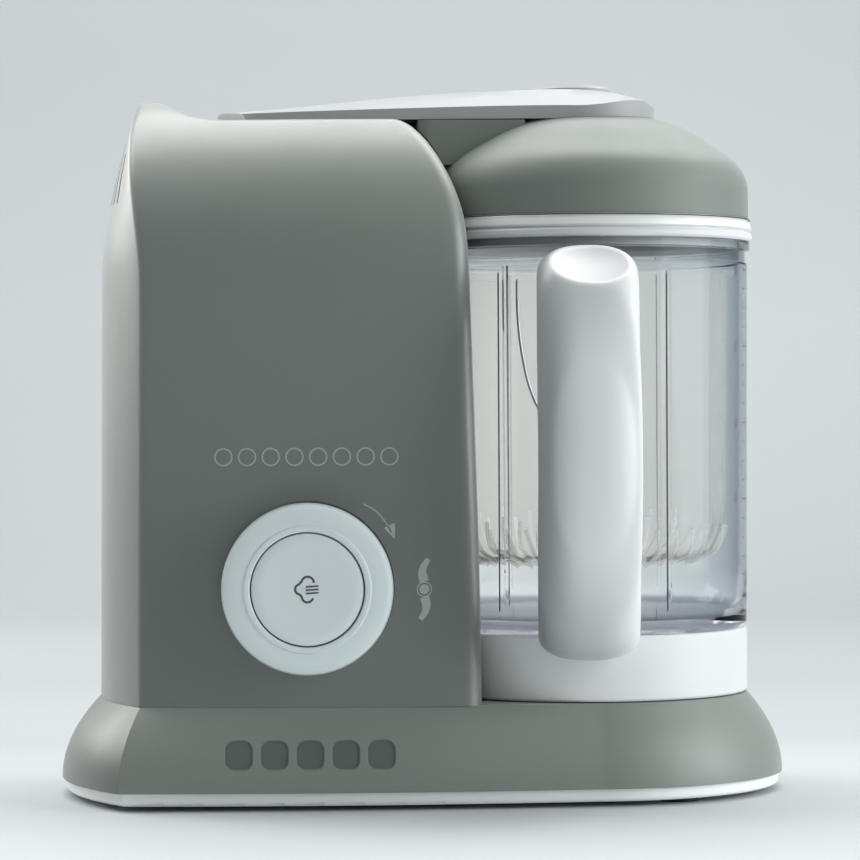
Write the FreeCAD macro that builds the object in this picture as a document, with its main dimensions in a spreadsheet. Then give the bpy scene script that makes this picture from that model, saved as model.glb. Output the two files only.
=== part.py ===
import FreeCAD, Part
import math
import os
import Sketcher
from FreeCAD import Vector

# Baby food maker: steams food in a clear jug and blends it with a blade in the
# same jug. All lengths are millimetres. The origin is on the table, under the
# middle of the footprint: +X runs towards the jug, -Y towards the user, +Z up.

doc = FreeCAD.newDocument("baby_food_maker")
sheet = doc.addObject("Spreadsheet::Sheet", "Sizes")

DRIVING_SIZES = {
    # footprint and base
    "base_half_width": 143.0, "base_corner_x": -117.5, "base_corner_y": 79.0,
    "base_front_x": -22.0, "base_front_y": 82.3, "plate_inset": 1.6,
    "feet_height": 2.0, "foot_radius": 8.0, "foot_x": 96.0, "foot_y": 52.0,
    "plate_top": 7.0, "plate_floor": 2.6, "base_top": 38.3, "shell_wall": 2.5,
    "top_corner_x": -109.6, "top_corner_y": 65.5, "top_front_y": 73.0,
    "top_left_x": -127.7, "top_right_x": 129.0,
    # jug station
    "jug_x": 65.6, "scoop_radius": 67.0,
    # body shell
    "body_flat_top": 263.4, "body_ridge": 273.4, "body_right_x": 20.1,
    "body_corner_top_x": -107.9, "body_bulge_top_x": -110.8, "corner_round": 4.0, "right_round": 7.0,
    # dial and steam button
    "dial_x": -46.0, "dial_z": 83.5, "dial_radius": 32.3, "dial_front_y": 85.0,
    "dial_back_y": 71.7, "dial_bore": 21.6, "button_radius": 21.2,
    "spindle_sleeve": 10.0,
    # jug
    "jug_radius_top": 64.5, "jug_radius_low": 63.7, "jug_wall": 3.2,
    "jug_low_z": 63.8, "jug_floor": 5.2, "jug_neck_z": 207.7, "jug_rim_z": 213.0,
    "jug_top_z": 216.2, "jug_rim_radius": 65.4, "jug_neck_radius": 63.6,
    "jug_base_radius": 63.7, "jug_base_low": 38.8, "jug_base_wall": 2.6,
    "jug_clock": -4.0, "rib_angle": 31.0,
    # handle
    "handle_width": 38.4, "handle_front": 105.5, "handle_low_z": 55.4,
    "handle_high_z": 213.4, "handle_twist": 13.0, "handle_pivot": 95.0,
    # steam basket
    "basket_radius": 55.5, "basket_low_z": 89.5, "basket_high_z": 206.0,
    "basket_wall": 1.5,
    # lid
    "seal_radius": 66.4, "seal_low": 216.5, "seal_high": 219.9,
    "ring_radius": 66.2, "ring_low": 220.3, "ring_high": 225.0,
    "dome_radius": 65.0, "dome_low": 225.4, "dome_top": 268.6, "lid_wall": 2.4,
    "neck_left_x": -1.9, "neck_right_x": 40.0, "neck_half": 29.5, "neck_top": 263.6,
    "arm_low": 264.0, "arm_left_x": -79.6, "arm_right_x": 93.4,
    "arm_half": 31.0, "arm_left_half": 21.0, "arm_wall": 2.2,
    "hinge_x": -74.5, "hinge_z": 260.4, "hinge_barrel": 3.4, "hinge_pin": 1.5,
    "lock_x": 61.0, "lock_radius": 15.5, "lock_top": 278.2,
    # drive
    "motor_x": -38.0, "motor_y": 12.0, "motor_radius": 27.0, "motor_low": 35.8,
    "motor_high": 92.0, "pulley_low": 15.0, "pulley_high": 22.0,
    "motor_pulley": 12.0, "spindle_pulley": 24.0, "belt_thick": 1.6,
    "belt_gap": 0.06, "shaft_radius": 4.0, "running_gap": 0.05,
    "blade_reach": 21.0,
    # steam boiler
    "boiler_x": -50.0, "boiler_y": 4.0, "boiler_radius": 38.0, "boiler_low": 150.0,
    "boiler_high": 226.0, "boiler_wall": 1.2, "boiler_neck": 16.0,
}


class Size:
    """A length together with the sheet formula that gives it."""

    def __init__(self, value, formula):
        self.value = float(value)
        self.formula = formula

    def join(self, other, sign, value):
        right = other if isinstance(other, Size) else Size(other, repr(float(other)))
        return Size(value(self.value, right.value),
                    "(" + self.formula + " " + sign + " " + right.formula + ")")

    def __add__(self, other):
        return self.join(other, "+", lambda a, b: a + b)

    def __sub__(self, other):
        return self.join(other, "-", lambda a, b: a - b)

    def __mul__(self, other):
        return self.join(other, "*", lambda a, b: a * b)

    def __truediv__(self, other):
        return self.join(other, "/", lambda a, b: a / b)

    def __neg__(self):
        return self * -1.0


class Sheet:
    """Writes each driving size to the sheet and hands it back by name."""

    def __init__(self, values):
        for row, name in enumerate(values, start=1):
            sheet.set("A" + str(row), name.replace("_", " "))
            sheet.set("B" + str(row), str(values[name]))
            sheet.setAlias("B" + str(row), name)
            setattr(self, name, Size(values[name], "Sizes." + name))


S = Sheet(DRIVING_SIZES)
doc.recompute()


def number(value):
    return value.value if isinstance(value, Size) else float(value)


def bind(thing, prop, value):
    """Tie a property to its sheet formula, or set it when it is a plain number."""
    if isinstance(value, Size):
        thing.setExpression(prop, value.formula)
    else:
        thing.setExpression(prop, repr(float(value)))


def place(thing, x=0.0, y=0.0, z=0.0):
    for axis, value in zip("xyz", (x, y, z)):
        bind(thing, "Placement.Base." + axis, value)


# ---------------------------------------------------------------- solids helpers

X_AXIS = Vector(1, 0, 0)
Y_AXIS = Vector(0, 1, 0)
Z_AXIS = Vector(0, 0, 1)


def turn(axis, angle):
    return FreeCAD.Rotation(axis, angle)


def disc(name, radius, low, high, x=0.0, y=0.0):
    """Upright cylinder between two heights."""
    solid = doc.addObject("Part::Cylinder", name)
    bind(solid, "Radius", radius)
    bind(solid, "Height", (high - low) if isinstance(high, Size) else -(low - high)
         if isinstance(low, Size) else high - low)
    place(solid, x, y, low)
    return solid


def rod(name, radius, length, x, y, z, axis=Y_AXIS):
    """Cylinder lying along the given axis, starting at x, y, z."""
    solid = doc.addObject("Part::Cylinder", name)
    bind(solid, "Radius", radius)
    bind(solid, "Height", length)
    solid.Placement = FreeCAD.Placement(Vector(0, 0, 0), FreeCAD.Rotation(Z_AXIS, axis))
    place(solid, x, y, z)
    return solid


def box(name, length, width, height, x, y, z):
    solid = doc.addObject("Part::Box", name)
    bind(solid, "Length", length)
    bind(solid, "Width", width)
    bind(solid, "Height", height)
    place(solid, x, y, z)
    return solid


def cut(name, base, tool):
    result = doc.addObject("Part::Cut", name)
    result.Base = base
    result.Tool = tool
    return result


def join(name, shapes):
    result = doc.addObject("Part::MultiFuse", name)
    result.Shapes = shapes
    return result


def group(name, shapes):
    """Separate solids of one kind kept in one node."""
    result = doc.addObject("Part::Compound", name)
    result.Links = shapes
    return result


def made(name, shape, position=Vector(0, 0, 0)):
    """A shape worked out in code, with its placement set afterwards."""
    result = doc.addObject("Part::Feature", name)
    result.Shape = shape
    result.Placement = FreeCAD.Placement(position, FreeCAD.Rotation())
    return result


def tube(name, outer, inner, low, high, x=0.0, y=0.0):
    outside = disc(name + "_outside", outer, low, high, x, y)
    inside = disc(name + "_inside", inner, low, high, x, y)
    return cut(name, outside, inside)


def rounded(name, base, radius, wanted):
    """Fillet the edges whose centre passes the test."""
    doc.recompute()
    result = doc.addObject("Part::Fillet", name)
    result.Base = base
    picked = []
    for index, edge in enumerate(base.Shape.Edges, start=1):
        if wanted(edge):
            picked.append((index, number(radius), number(radius)))
    result.Edges = picked
    return result


# -------------------------------------------------------------- sketched bodies

def origin_plane(body, role):
    for feature in body.Origin.OriginFeatures:
        if feature.Role == role:
            return feature


def outline_sketch(body, name, role, points):
    """Closed outline of straight lines, every corner tied to the sheet."""
    sketch = body.newObject("Sketcher::SketchObject", name)
    sketch.AttachmentSupport = [(origin_plane(body, role), "")]
    sketch.MapMode = "FlatFace"
    count = len(points)
    corners = [Vector(number(a), number(b), 0) for a, b in points]
    for index in range(count):
        line = Part.LineSegment(corners[index], corners[(index + 1) % count])
        sketch.addGeometry(line, False)
    for index in range(count):
        following = (index + 1) % count
        sketch.addConstraint(Sketcher.Constraint("Coincident", index, 2, following, 1))
    for index, (a, b) in enumerate(points):
        for kind, value in (("DistanceX", a), ("DistanceY", b)):
            rule = Sketcher.Constraint(kind, -1, 1, index, 1, number(value))
            row = sketch.addConstraint(rule)
            if isinstance(value, Size):
                sketch.setExpression("Constraints[" + str(row) + "]", value.formula)
    return sketch


def turned(name, points, x=0.0, y=0.0):
    """Body revolved about an upright axis from a radius and height outline."""
    body = doc.addObject("PartDesign::Body", name)
    sketch = outline_sketch(body, name + "_profile", "XZ_Plane", points)
    spin = body.newObject("PartDesign::Revolution", name + "_turned")
    spin.Profile = sketch
    spin.ReferenceAxis = (sketch, ["V_Axis"])
    spin.Angle = 360.0
    sketch.Visibility = False
    body.Tip = spin
    place(body, x, y, 0.0)
    return body


def lathe_y(name, points, x, z):
    """Body revolved about a front-to-back axis: points are (radius, depth y)."""
    body = doc.addObject("PartDesign::Body", name)
    sketch = outline_sketch(body, name + "_profile", "XY_Plane", points)
    spin = body.newObject("PartDesign::Revolution", name + "_turned")
    spin.Profile = sketch
    spin.ReferenceAxis = (sketch, ["V_Axis"])
    spin.Angle = 360.0
    sketch.Visibility = False
    body.Tip = spin
    place(body, x, 0.0, z)
    return body


def clock_about_jug(thing, angle):
    """Turn a sub-part about the jug's axis."""
    centre = Vector(S.jug_x.value, 0, 0)
    rotation = turn(Z_AXIS, angle)
    thing.Placement = FreeCAD.Placement(centre, rotation)
    place(thing, S.jug_x, 0.0, 0.0)


# ------------------------------------------------------------ free-form outlines

def arc(start, middle, end):
    return Part.Arc(start, middle, end).toShape()


def plan_wire(corner_x, corner_y, front_x, front_y, left_x, right_x, height, inset=0.0):
    """Footprint outline: bulging left end, bowed front and back, round right end."""
    jug_x = S.jug_x.value
    right_radius = right_x - inset - jug_x
    corner = (corner_x + inset, corner_y - inset)
    front = front_y - inset
    left = left_x + inset
    p_front = Vector(corner[0], -corner[1], height)
    p_back = Vector(corner[0], corner[1], height)
    p_right_front = Vector(jug_x, -right_radius, height)
    p_right_back = Vector(jug_x, right_radius, height)
    edges = [
        arc(p_front, Vector(front_x, -front, height), p_right_front),
        arc(p_right_front, Vector(jug_x + right_radius, 0, height), p_right_back),
        arc(p_right_back, Vector(front_x, front, height), p_back),
        arc(p_back, Vector(left, 0, height), p_front),
    ]
    return Part.Wire(edges)


BASE_SECTIONS = 7


def base_solid(inset, low, high):
    """Convex-walled base between two heights, shrunk by the inset."""
    wires = []
    for index in range(BASE_SECTIONS):
        share = index / (BASE_SECTIONS - 1.0)
        lean = share * share
        z = low + (high - low) * share
        corner_x = S.base_corner_x.value
        corner_x += lean * (S.top_corner_x.value - S.base_corner_x.value)
        corner_y = S.base_corner_y.value
        corner_y += lean * (S.top_corner_y.value - S.base_corner_y.value)
        front_y = S.base_front_y.value
        front_y += lean * (S.top_front_y.value - S.base_front_y.value)
        left_x = -S.base_half_width.value
        left_x += lean * (S.top_left_x.value + S.base_half_width.value)
        right_x = S.base_half_width.value
        right_x += lean * (S.top_right_x.value - S.base_half_width.value)
        wires.append(plan_wire(corner_x, corner_y, S.base_front_x.value, front_y,
                               left_x, right_x, z, inset))
    return Part.makeLoft(wires, True, False)


def upright(radius, low, high, x=0.0, y=0.0):
    return Part.makeCylinder(radius, high - low, Vector(x, y, low))


def spline(points):
    curve = Part.BSplineCurve()
    curve.interpolate(points)
    return curve.toShape()


SURFACE_LOW = 30.0
SURFACE_STEP = 4.1
SURFACE_ROWS = 60
ROLL_START = 195.0
ROLL_HEIGHT = 80.0


def bulge_at(z):
    """How far the left side bulges out; it flattens towards the top."""
    above = max(z - 205.0, 0.0) / 66.0
    return 18.0 - 14.4 * above ** 1.6


def roll_at(z):
    """How far the front has rolled back: a quarter ellipse up to the ridge."""
    share = min(max(z - ROLL_START, 0.0) / ROLL_HEIGHT, 0.995)
    return S.top_front_y.value * (1.0 - math.sqrt(1.0 - share * share))


def surface_through(rows):
    surface = Part.BSplineSurface()
    surface.interpolate(rows)
    return surface.toShape()


def left_mass(inset):
    """Everything to the right of the bulging left side."""
    rows = []
    for index in range(SURFACE_ROWS):
        z = SURFACE_LOW + SURFACE_STEP * index
        share = (z - S.base_top.value) / (S.body_ridge.value - S.base_top.value)
        corner = S.top_corner_x.value
        corner += share * (S.body_corner_top_x.value - S.top_corner_x.value)
        row = []
        for step in range(9):
            y = -96.0 + 24.0 * step
            across = y / S.top_corner_y.value
            row.append(Vector(corner - bulge_at(z) * (1.0 - across * across) + inset, y, z))
        rows.append(row)
    return surface_through(rows).extrude(Vector(170.0, 0, 0))


def front_mass(inset):
    """Everything behind the bowed front, which rolls back towards the top."""
    rows = []
    fall = S.top_front_y.value - S.top_corner_y.value
    for index in range(SURFACE_ROWS):
        z = SURFACE_LOW + SURFACE_STEP * index
        row = []
        for step in range(9):
            x = -150.0 + 24.0 * step
            across = (x + 22.0) / 87.6
            bow = S.top_front_y.value - fall * across * across
            row.append(Vector(x, -bow + roll_at(z + inset) + inset, z))
        rows.append(row)
    return surface_through(rows).extrude(Vector(0, 240.0, 0))


def body_solid(inset, low):
    """Body mass: bulging left side, bowed front, rolled top, curved right side."""
    top = S.body_flat_top.value - inset
    ridge = S.body_ridge.value - inset
    right = S.body_right_x.value - inset
    ridge_curve = spline([
        Vector(-107.5, -100, ridge), Vector(-98.5, -100, ridge - 3.6),
        Vector(-90.5, -100, ridge - 7.6), Vector(-82.0, -100, top + 0.4),
        Vector(-76.0, -100, top + 0.05), Vector(-70.0, -100, top)])
    flat = Part.makeLine(Vector(-70.0, -100, top), Vector(right - 33.0, -100, top))
    side_curve = spline([
        Vector(right - 33.0, -100, top), Vector(right - 28.0, -100, top - 1.0),
        Vector(right - 23.0, -100, top - 4.6), Vector(right - 17.0, -100, top - 12.0),
        Vector(right - 10.6, -100, top - 24.0), Vector(right - 6.0, -100, top - 37.6),
        Vector(right - 4.1, -100, top - 56.0), Vector(right - 3.2, -100, top - 84.0),
        Vector(right - 1.3, -100, top - 147.0), Vector(right, -100, low)])
    foot = Part.makeLine(Vector(right, -100, low), Vector(-150.0, -100, low))
    rise = Part.makeLine(Vector(-150.0, -100, low), Vector(-150.0, -100, ridge - 22.0))
    over = Part.makeLine(Vector(-150.0, -100, ridge - 22.0), Vector(-107.5, -100, ridge))
    front_view = Part.Face(Part.Wire([ridge_curve, flat, side_curve, foot, rise, over]))
    slab = front_view.extrude(Vector(0, 200, 0))
    front = front_mass(inset)
    back = front.mirror(Vector(0, 0, 0), Y_AXIS)
    return slab.common(left_mass(inset)).common(front).common(back)


def near(value, target, reach):
    return abs(value - target) < reach


# ------------------------------------------------------------------ base and body

jug_x = S.jug_x.value
wall = S.shell_wall.value
base_low = S.plate_top.value
base_high = S.base_top.value

base_outer = base_solid(0.0, base_low, base_high)
base_inner = base_solid(wall, base_low - 1.0, base_high - wall)
base_cup = base_outer.cut(base_inner)
# opening under the body, hole for the drive spindle, and screw bosses
body_mouth = Part.makeBox(84.0, 104.0, 20.0, Vector(-84.0, -52.0, 26.0))
spindle_hole = upright(S.spindle_sleeve.value, 20.0, 60.0, jug_x)
BOSS_PLACES = [(-92.0, -56.0), (-92.0, 56.0), (-6.0, -64.0), (-6.0, 64.0),
               (100.0, -34.0), (100.0, 34.0)]
bosses = []
boss_bores = []
for bx, by in BOSS_PLACES:
    bosses.append(upright(4.5, S.plate_floor.value + 2.0, base_high - wall + 0.5, bx, by))
    boss_bores.append(upright(1.6, 0.0, 20.0, bx, by))
base_cup = base_cup.cut(body_mouth)
base_cup = base_cup.multiFuse(bosses)
base_cup = base_cup.cut(Part.makeCompound(boss_bores + [spindle_hole]))
# row of five shallow round-cornered marks pressed into the front wall
shallow = base_outer.cut(base_solid(0.7, base_low, base_high + 1.0))
marks = []
for index in range(5):
    mark = Part.makeBox(10.6, 24.0, 11.0, Vector(-77.4 + 13.4 * index, -92.0, 15.6))
    mark = mark.makeFillet(3.6, [e for e in mark.Edges if near(e.Length, 24.0, 0.01)])
    marks.append(mark)
base_cup = base_cup.cut(Part.makeCompound(marks).common(shallow))
base_cup = base_cup.removeSplitter()
base_shell = made("base_shell", base_cup)

plate_outer = plan_wire(S.base_corner_x.value, S.base_corner_y.value, S.base_front_x.value,
                        S.base_front_y.value, -S.base_half_width.value,
                        S.base_half_width.value, S.feet_height.value, S.plate_inset.value)
plate_inner = plan_wire(S.base_corner_x.value, S.base_corner_y.value, S.base_front_x.value,
                        S.base_front_y.value, -S.base_half_width.value,
                        S.base_half_width.value, S.feet_height.value + S.plate_floor.value,
                        S.plate_inset.value + wall)
plate_depth = base_low - S.feet_height.value
plate = Part.Face(plate_outer).extrude(Vector(0, 0, plate_depth))
plate = plate.makeFillet(1.6, [e for e in plate.Edges
                              if near(e.BoundBox.ZMax, S.feet_height.value, 0.01)])
plate = plate.cut(Part.Face(plate_inner).extrude(Vector(0, 0, plate_depth)))
screw_holes = []
for bx, by in BOSS_PLACES:
    screw_holes.append(upright(1.7, 0.0, 10.0, bx, by))
    screw_holes.append(upright(3.3, 0.0, S.feet_height.value + 1.4, bx, by))
for index in range(9):
    slot_x = -70.0 + 8.0 * index
    screw_holes.append(Part.makeBox(3.0, 36.0, 10.0, Vector(slot_x, -6.0, 0.0)))
plate = plate.cut(Part.makeCompound(screw_holes))
bottom_plate = made("bottom_plate", plate)

feet = []
for sign_x in (-1, 1):
    for sign_y in (-1, 1):
        feet.append(disc("foot" + str(len(feet)), S.foot_radius, 0.0, S.feet_height,
                         S.foot_x * sign_x, S.foot_y * sign_y))
rubber_feet = group("rubber_feet", feet)

screws = []
for index, (bx, by) in enumerate(BOSS_PLACES):
    head = disc("screw_head" + str(index), 3.0, S.feet_height + 0.1, S.feet_height + 1.4, bx, by)
    shank = disc("screw_shank" + str(index), 1.5, S.feet_height + 1.4, 16.0, bx, by)
    screws.append(join("screw" + str(index), [head, shank]))
plate_screws = group("plate_screws", screws)

body_low = base_high
body_outer = body_solid(0.0, body_low)
body_inner = body_solid(wall, body_low - 1.0)
scoop = upright(S.scoop_radius.value, body_low - 5.0, 300.0, jug_x)
scoop_inner = upright(S.scoop_radius.value + wall, body_low - 5.0, 300.0, jug_x)
body_outer = body_outer.cut(scoop)


def is_corner_edge(edge):
    around = edge.BoundBox
    upright_run = around.ZLength > 10.0 and abs(around.Center.y) > 20.0
    return upright_run and near(around.Center.x, -109.8, 2.6) and around.XLength < 8.0


def is_right_edge(edge):
    around = edge.BoundBox
    return around.ZLength > 150.0 and around.XMin > -20.0 and abs(around.Center.y) > 40.0


body_outer = body_outer.makeFillet(S.corner_round.value,
                                   [e for e in body_outer.Edges if is_corner_edge(e)])
body_outer = body_outer.makeFillet(S.right_round.value,
                                   [e for e in body_outer.Edges if is_right_edge(e)])
body_inner = body_inner.cut(scoop_inner)
body_cup = body_outer.cut(body_inner)
dial_z = S.dial_z.value
dial_x = S.dial_x.value
dial_hole = Part.makeCylinder(17.0, 20.0, Vector(dial_x, -S.dial_front_y.value, dial_z), Y_AXIS)
dial_recess = Part.makeCylinder(S.dial_radius.value + 0.6, 20.0,
                                Vector(dial_x, -S.dial_back_y.value - 20.0, dial_z), Y_AXIS)
neck_hole = upright(S.boiler_neck.value, 240.0, 280.0, S.boiler_x.value, S.boiler_y.value)
hinge_x = S.hinge_x.value
well = Part.makeBox(17.6, 52.0, 14.0, Vector(hinge_x - 10.0, -26.0, 254.0))
openings = [dial_hole, dial_recess, neck_hole, well]
# thin upright vent slots high on the left side, the first two shorter at the front corner
for index in range(10):
    slot_y = -36.0 + 8.0 * index
    slot_length = 19.0 + 4.5 * min(index, 2)
    slot = Part.makeBox(30.0, 1.8, slot_length, Vector(-135.0, slot_y - 0.9, 231.0))
    openings.append(slot)
body_cup = body_cup.cut(Part.makeCompound(openings))
body_shell = made("body_shell", body_cup)

# chassis plate inside the base carries the motor; its rim hangs on the base mouth
chassis_plate = box("chassis_blank", 90.0, 110.0, 3.0, -87.0, -55.0,
                    S.base_top - S.shell_wall - 3.0)
chassis_hole = disc("chassis_hole", 8.0, 30.0, 40.0, S.motor_x, S.motor_y)
chassis_plate = cut("chassis_plate", chassis_plate, chassis_hole)

# ----------------------------------------------------------------------- motor

motor_can = turned("motor_can", [
    (10.0, S.motor_low), (S.motor_radius, S.motor_low), (S.motor_radius, S.motor_high),
    (10.0, S.motor_high), (10.0, S.motor_high - 2.0),
    (S.motor_radius - 2.0, S.motor_high - 2.0), (S.motor_radius - 2.0, S.motor_low + 2.0),
    (10.0, S.motor_low + 2.0)], S.motor_x, S.motor_y)
bearing_low = tube("bearing_low", 10.0, S.shaft_radius - 1.0 + S.running_gap,
                   S.motor_low, S.motor_low + 6.0, S.motor_x, S.motor_y)
bearing_high = tube("bearing_high", 10.0, S.shaft_radius - 1.0 + S.running_gap,
                    S.motor_high - 6.0, S.motor_high, S.motor_x, S.motor_y)
motor_bearings = group("motor_bearings", [bearing_low, bearing_high])
magnet_half = cut("magnet_ring", disc("magnet_out", S.motor_radius - 2.0, 48.0, 80.0,
                                      S.motor_x, S.motor_y),
                  disc("magnet_in", S.motor_radius - 6.0, 48.0, 80.0, S.motor_x, S.motor_y))
magnet_gap = box("magnet_gap", 60.0, 8.0, 40.0, S.motor_x - 30.0, S.motor_y - 4.0, 44.0)
motor_magnets = cut("motor_magnets", magnet_half, magnet_gap)

rotor_shaft = disc("rotor_shaft", S.shaft_radius - 1.0, 11.0, 96.0, S.motor_x, S.motor_y)
armature = disc("armature", 19.0, 50.0, 78.0, S.motor_x, S.motor_y)
commutator = disc("commutator", 9.0, 78.0, 84.0, S.motor_x, S.motor_y)
rotor_blank = join("rotor_blank", [rotor_shaft, armature, commutator])
slots = []
for index in range(10):
    angle = math.radians(36.0 * index)
    slots.append(disc("rotor_slot" + str(index), 1.6, 49.0, 79.0,
                      S.motor_x + 17.6 * math.cos(angle), S.motor_y + 17.6 * math.sin(angle)))
motor_rotor = cut("motor_rotor", rotor_blank, join("rotor_slots", slots))


def pulley_profile(radius, bore):
    return [(bore, S.pulley_low - 1.5), (radius + 2.0, S.pulley_low - 1.5),
            (radius + 2.0, S.pulley_low - 0.5), (radius, S.pulley_low),
            (radius, S.pulley_high), (radius + 2.0, S.pulley_high + 0.5),
            (radius + 2.0, S.pulley_high + 1.5), (bore, S.pulley_high + 1.5)]


motor_pulley = turned("motor_pulley", pulley_profile(S.motor_pulley, S.shaft_radius - 1.0),
                      S.motor_x, S.motor_y)

fan_hub = tube("fan_hub", 8.0, S.shaft_radius - 1.0, 93.0, 99.0, S.motor_x, S.motor_y)
fan_parts = [tube("fan_disc", 22.0, S.shaft_radius - 1.0, 93.0, 94.4, S.motor_x, S.motor_y)]
fan_parts.append(fan_hub)
for index in range(8):
    fin = doc.addObject("Part::Box", "fan_fin" + str(index))
    fin.Length = 14.0
    fin.Width = 1.2
    fin.Height = 4.6
    spin = turn(Z_AXIS, 45.0 * index)
    start = spin.multVec(Vector(7.5, -0.6, 0))
    fin.Placement = FreeCAD.Placement(Vector(0, 0, 0), spin)
    place(fin, S.motor_x + start.x, S.motor_y + start.y, 94.4)
    fan_parts.append(fin)
cooling_fan = join("cooling_fan", fan_parts)


def belt_loop(grow, low, high):
    """Solid stadium around both pulleys, grown outwards by the given amount."""
    small = S.motor_pulley.value + grow
    large = S.spindle_pulley.value + grow
    start = Vector(S.motor_x.value, S.motor_y.value, low)
    end = Vector(jug_x, 0, low)
    span = end - start
    lean = math.acos((small - large) / span.Length)
    heading = math.atan2(span.y, span.x)
    side_points = []
    for sign in (1, -1):
        direction = heading + sign * lean
        normal = Vector(math.cos(direction), math.sin(direction), 0)
        side_points.append((start + normal * small, end + normal * large))
    outward = span.normalize()
    edges = [
        Part.makeLine(side_points[0][0], side_points[0][1]),
        arc(side_points[0][1], end + outward * large, side_points[1][1]),
        Part.makeLine(side_points[1][1], side_points[1][0]),
        arc(side_points[1][0], start - outward * small, side_points[0][0]),
    ]
    return Part.Face(Part.Wire(edges)).extrude(Vector(0, 0, high - low))


belt_low = S.pulley_low.value + 0.3
belt_high = S.pulley_high.value - 0.3
belt_outer = belt_loop(S.belt_gap.value + S.belt_thick.value, belt_low, belt_high)
belt_inner = belt_loop(S.belt_gap.value, belt_low, belt_high)
drive_belt = made("drive_belt", belt_outer.cut(belt_inner))

# --------------------------------------------------------------- drive spindle

spindle_sleeve = turned("spindle_sleeve", [
    (7.0, 25.0), (S.spindle_sleeve, 25.0), (S.spindle_sleeve, S.base_top),
    (24.0, S.base_top), (24.0, S.base_top + 1.8), (7.0, S.base_top + 1.8)], S.jug_x)
bush_low = tube("bush_low", 7.0, S.shaft_radius + S.running_gap, 25.0, 30.0, S.jug_x)
bush_high = tube("bush_high", 7.0, S.shaft_radius + S.running_gap, 35.1, 40.1, S.jug_x)
spindle_bushes = group("spindle_bushes", [bush_low, bush_high])
spindle_shaft = disc("spindle_shaft", S.shaft_radius, 11.0, 44.0, S.jug_x)
spindle_pulley = turned("spindle_pulley", pulley_profile(S.spindle_pulley, S.shaft_radius),
                        S.jug_x)

coupling_disc = tube("coupling_disc", 13.0, S.shaft_radius, 40.4, 43.9, S.jug_x)
dogs = [coupling_disc]
for index in range(3):
    dog = doc.addObject("Part::Box", "drive_dog" + str(index))
    dog.Length = 6.0
    dog.Width = 5.0
    dog.Height = 5.6
    spin = turn(Z_AXIS, 120.0 * index)
    start = spin.multVec(Vector(6.4, -2.5, 0))
    dog.Placement = FreeCAD.Placement(Vector(0, 0, 0), spin)
    place(dog, S.jug_x + start.x, start.y, 43.4)
    dogs.append(dog)
drive_coupling = join("drive_coupling", dogs)

# -------------------------------------------------------------------- jug seat

seat_blank = turned("seat_blank", [
    (48.0, S.base_top), (56.0, S.base_top), (56.0, S.base_top + 2.0),
    (50.5, S.base_top + 2.0), (50.5, S.base_top + 9.0), (48.0, S.base_top + 9.0)], S.jug_x)
seat_lugs = [seat_blank]
for index in range(3):
    lug = doc.addObject("Part::Box", "seat_lug" + str(index))
    lug.Length = 5.0
    lug.Width = 12.0
    lug.Height = 2.0
    spin = turn(Z_AXIS, 120.0 * index + 20.0)
    start = spin.multVec(Vector(49.4, -6.0, 0))
    lug.Placement = FreeCAD.Placement(Vector(0, 0, 0), spin)
    place(lug, S.jug_x + start.x, start.y, S.base_top + 7.0)
    seat_lugs.append(lug)
jug_seat = join("jug_seat", seat_lugs)

# ------------------------------------------------------------------- blade unit

blade_shaft = disc("blade_shaft", S.shaft_radius, 54.0, 74.0, S.jug_x)
hub_blank = turned("hub_blank", [
    (0.0, 74.0), (8.6, 74.0), (8.2, 77.0), (6.6, 80.0), (6.2, 86.0), (4.4, 88.4),
    (0.0, 88.8)], S.jug_x)
blade_hub = join("blade_hub", [blade_shaft, hub_blank])


def blade(reach, low, lift, sweep, angle):
    """Flat sabre-shaped blade, bent up or down from the hub."""
    points = [Vector(4.0, -4.2, 0), Vector(0.55 * reach, -4.6, 0), Vector(reach, 1.4 + sweep, 0)]
    back = [Vector(reach - 1.6, 3.6 + sweep, 0), Vector(0.55 * reach, 2.6, 0), Vector(4.0, 4.2, 0)]
    edges = [spline(points), Part.makeLine(points[-1], back[0]), spline(back),
             Part.makeLine(back[-1], points[0])]
    plate_shape = Part.Face(Part.Wire(edges)).extrude(Vector(0, 0, 1.2))
    plate_shape.rotate(Vector(6.0, 0, 0), Y_AXIS, -lift)
    plate_shape.rotate(Vector(0, 0, 0), Z_AXIS, angle)
    plate_shape.translate(Vector(jug_x, 0, low))
    return plate_shape


blade_pair = []
for angle, low, lift in ((35.0, 76.8, 8.0), (215.0, 76.8, 8.0), (125.0, 82.4, 14.0),
                         (305.0, 82.4, 14.0)):
    one = blade(S.blade_reach.value, low, lift, 1.6, angle)
    blade_pair.append(one)
doc.recompute()
blade_blank = Part.makeCompound([
    blade_pair[0].multiFuse([blade_pair[1], upright(9.4, 76.8, 78.0, jug_x)]),
    blade_pair[2].multiFuse([blade_pair[3], upright(9.4, 82.4, 83.6, jug_x)])])
steel_blades = made("steel_blades", blade_blank.cut(blade_hub.Shape))

follower_disc = tube("follower_disc", 13.0, S.shaft_radius, 54.2, 57.4, S.jug_x)
follower_dogs = [follower_disc]
for index in range(3):
    dog = doc.addObject("Part::Box", "blade_dog" + str(index))
    dog.Length = 6.0
    dog.Width = 5.0
    dog.Height = 9.0
    spin = turn(Z_AXIS, 120.0 * index + 60.0)
    start = spin.multVec(Vector(6.4, -2.5, 0))
    dog.Placement = FreeCAD.Placement(Vector(0, 0, 0), spin)
    place(dog, S.jug_x + start.x, start.y, 45.4)
    follower_dogs.append(dog)
blade_coupling = join("blade_coupling", follower_dogs)

# ------------------------------------------------------------------------- jug

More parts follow.
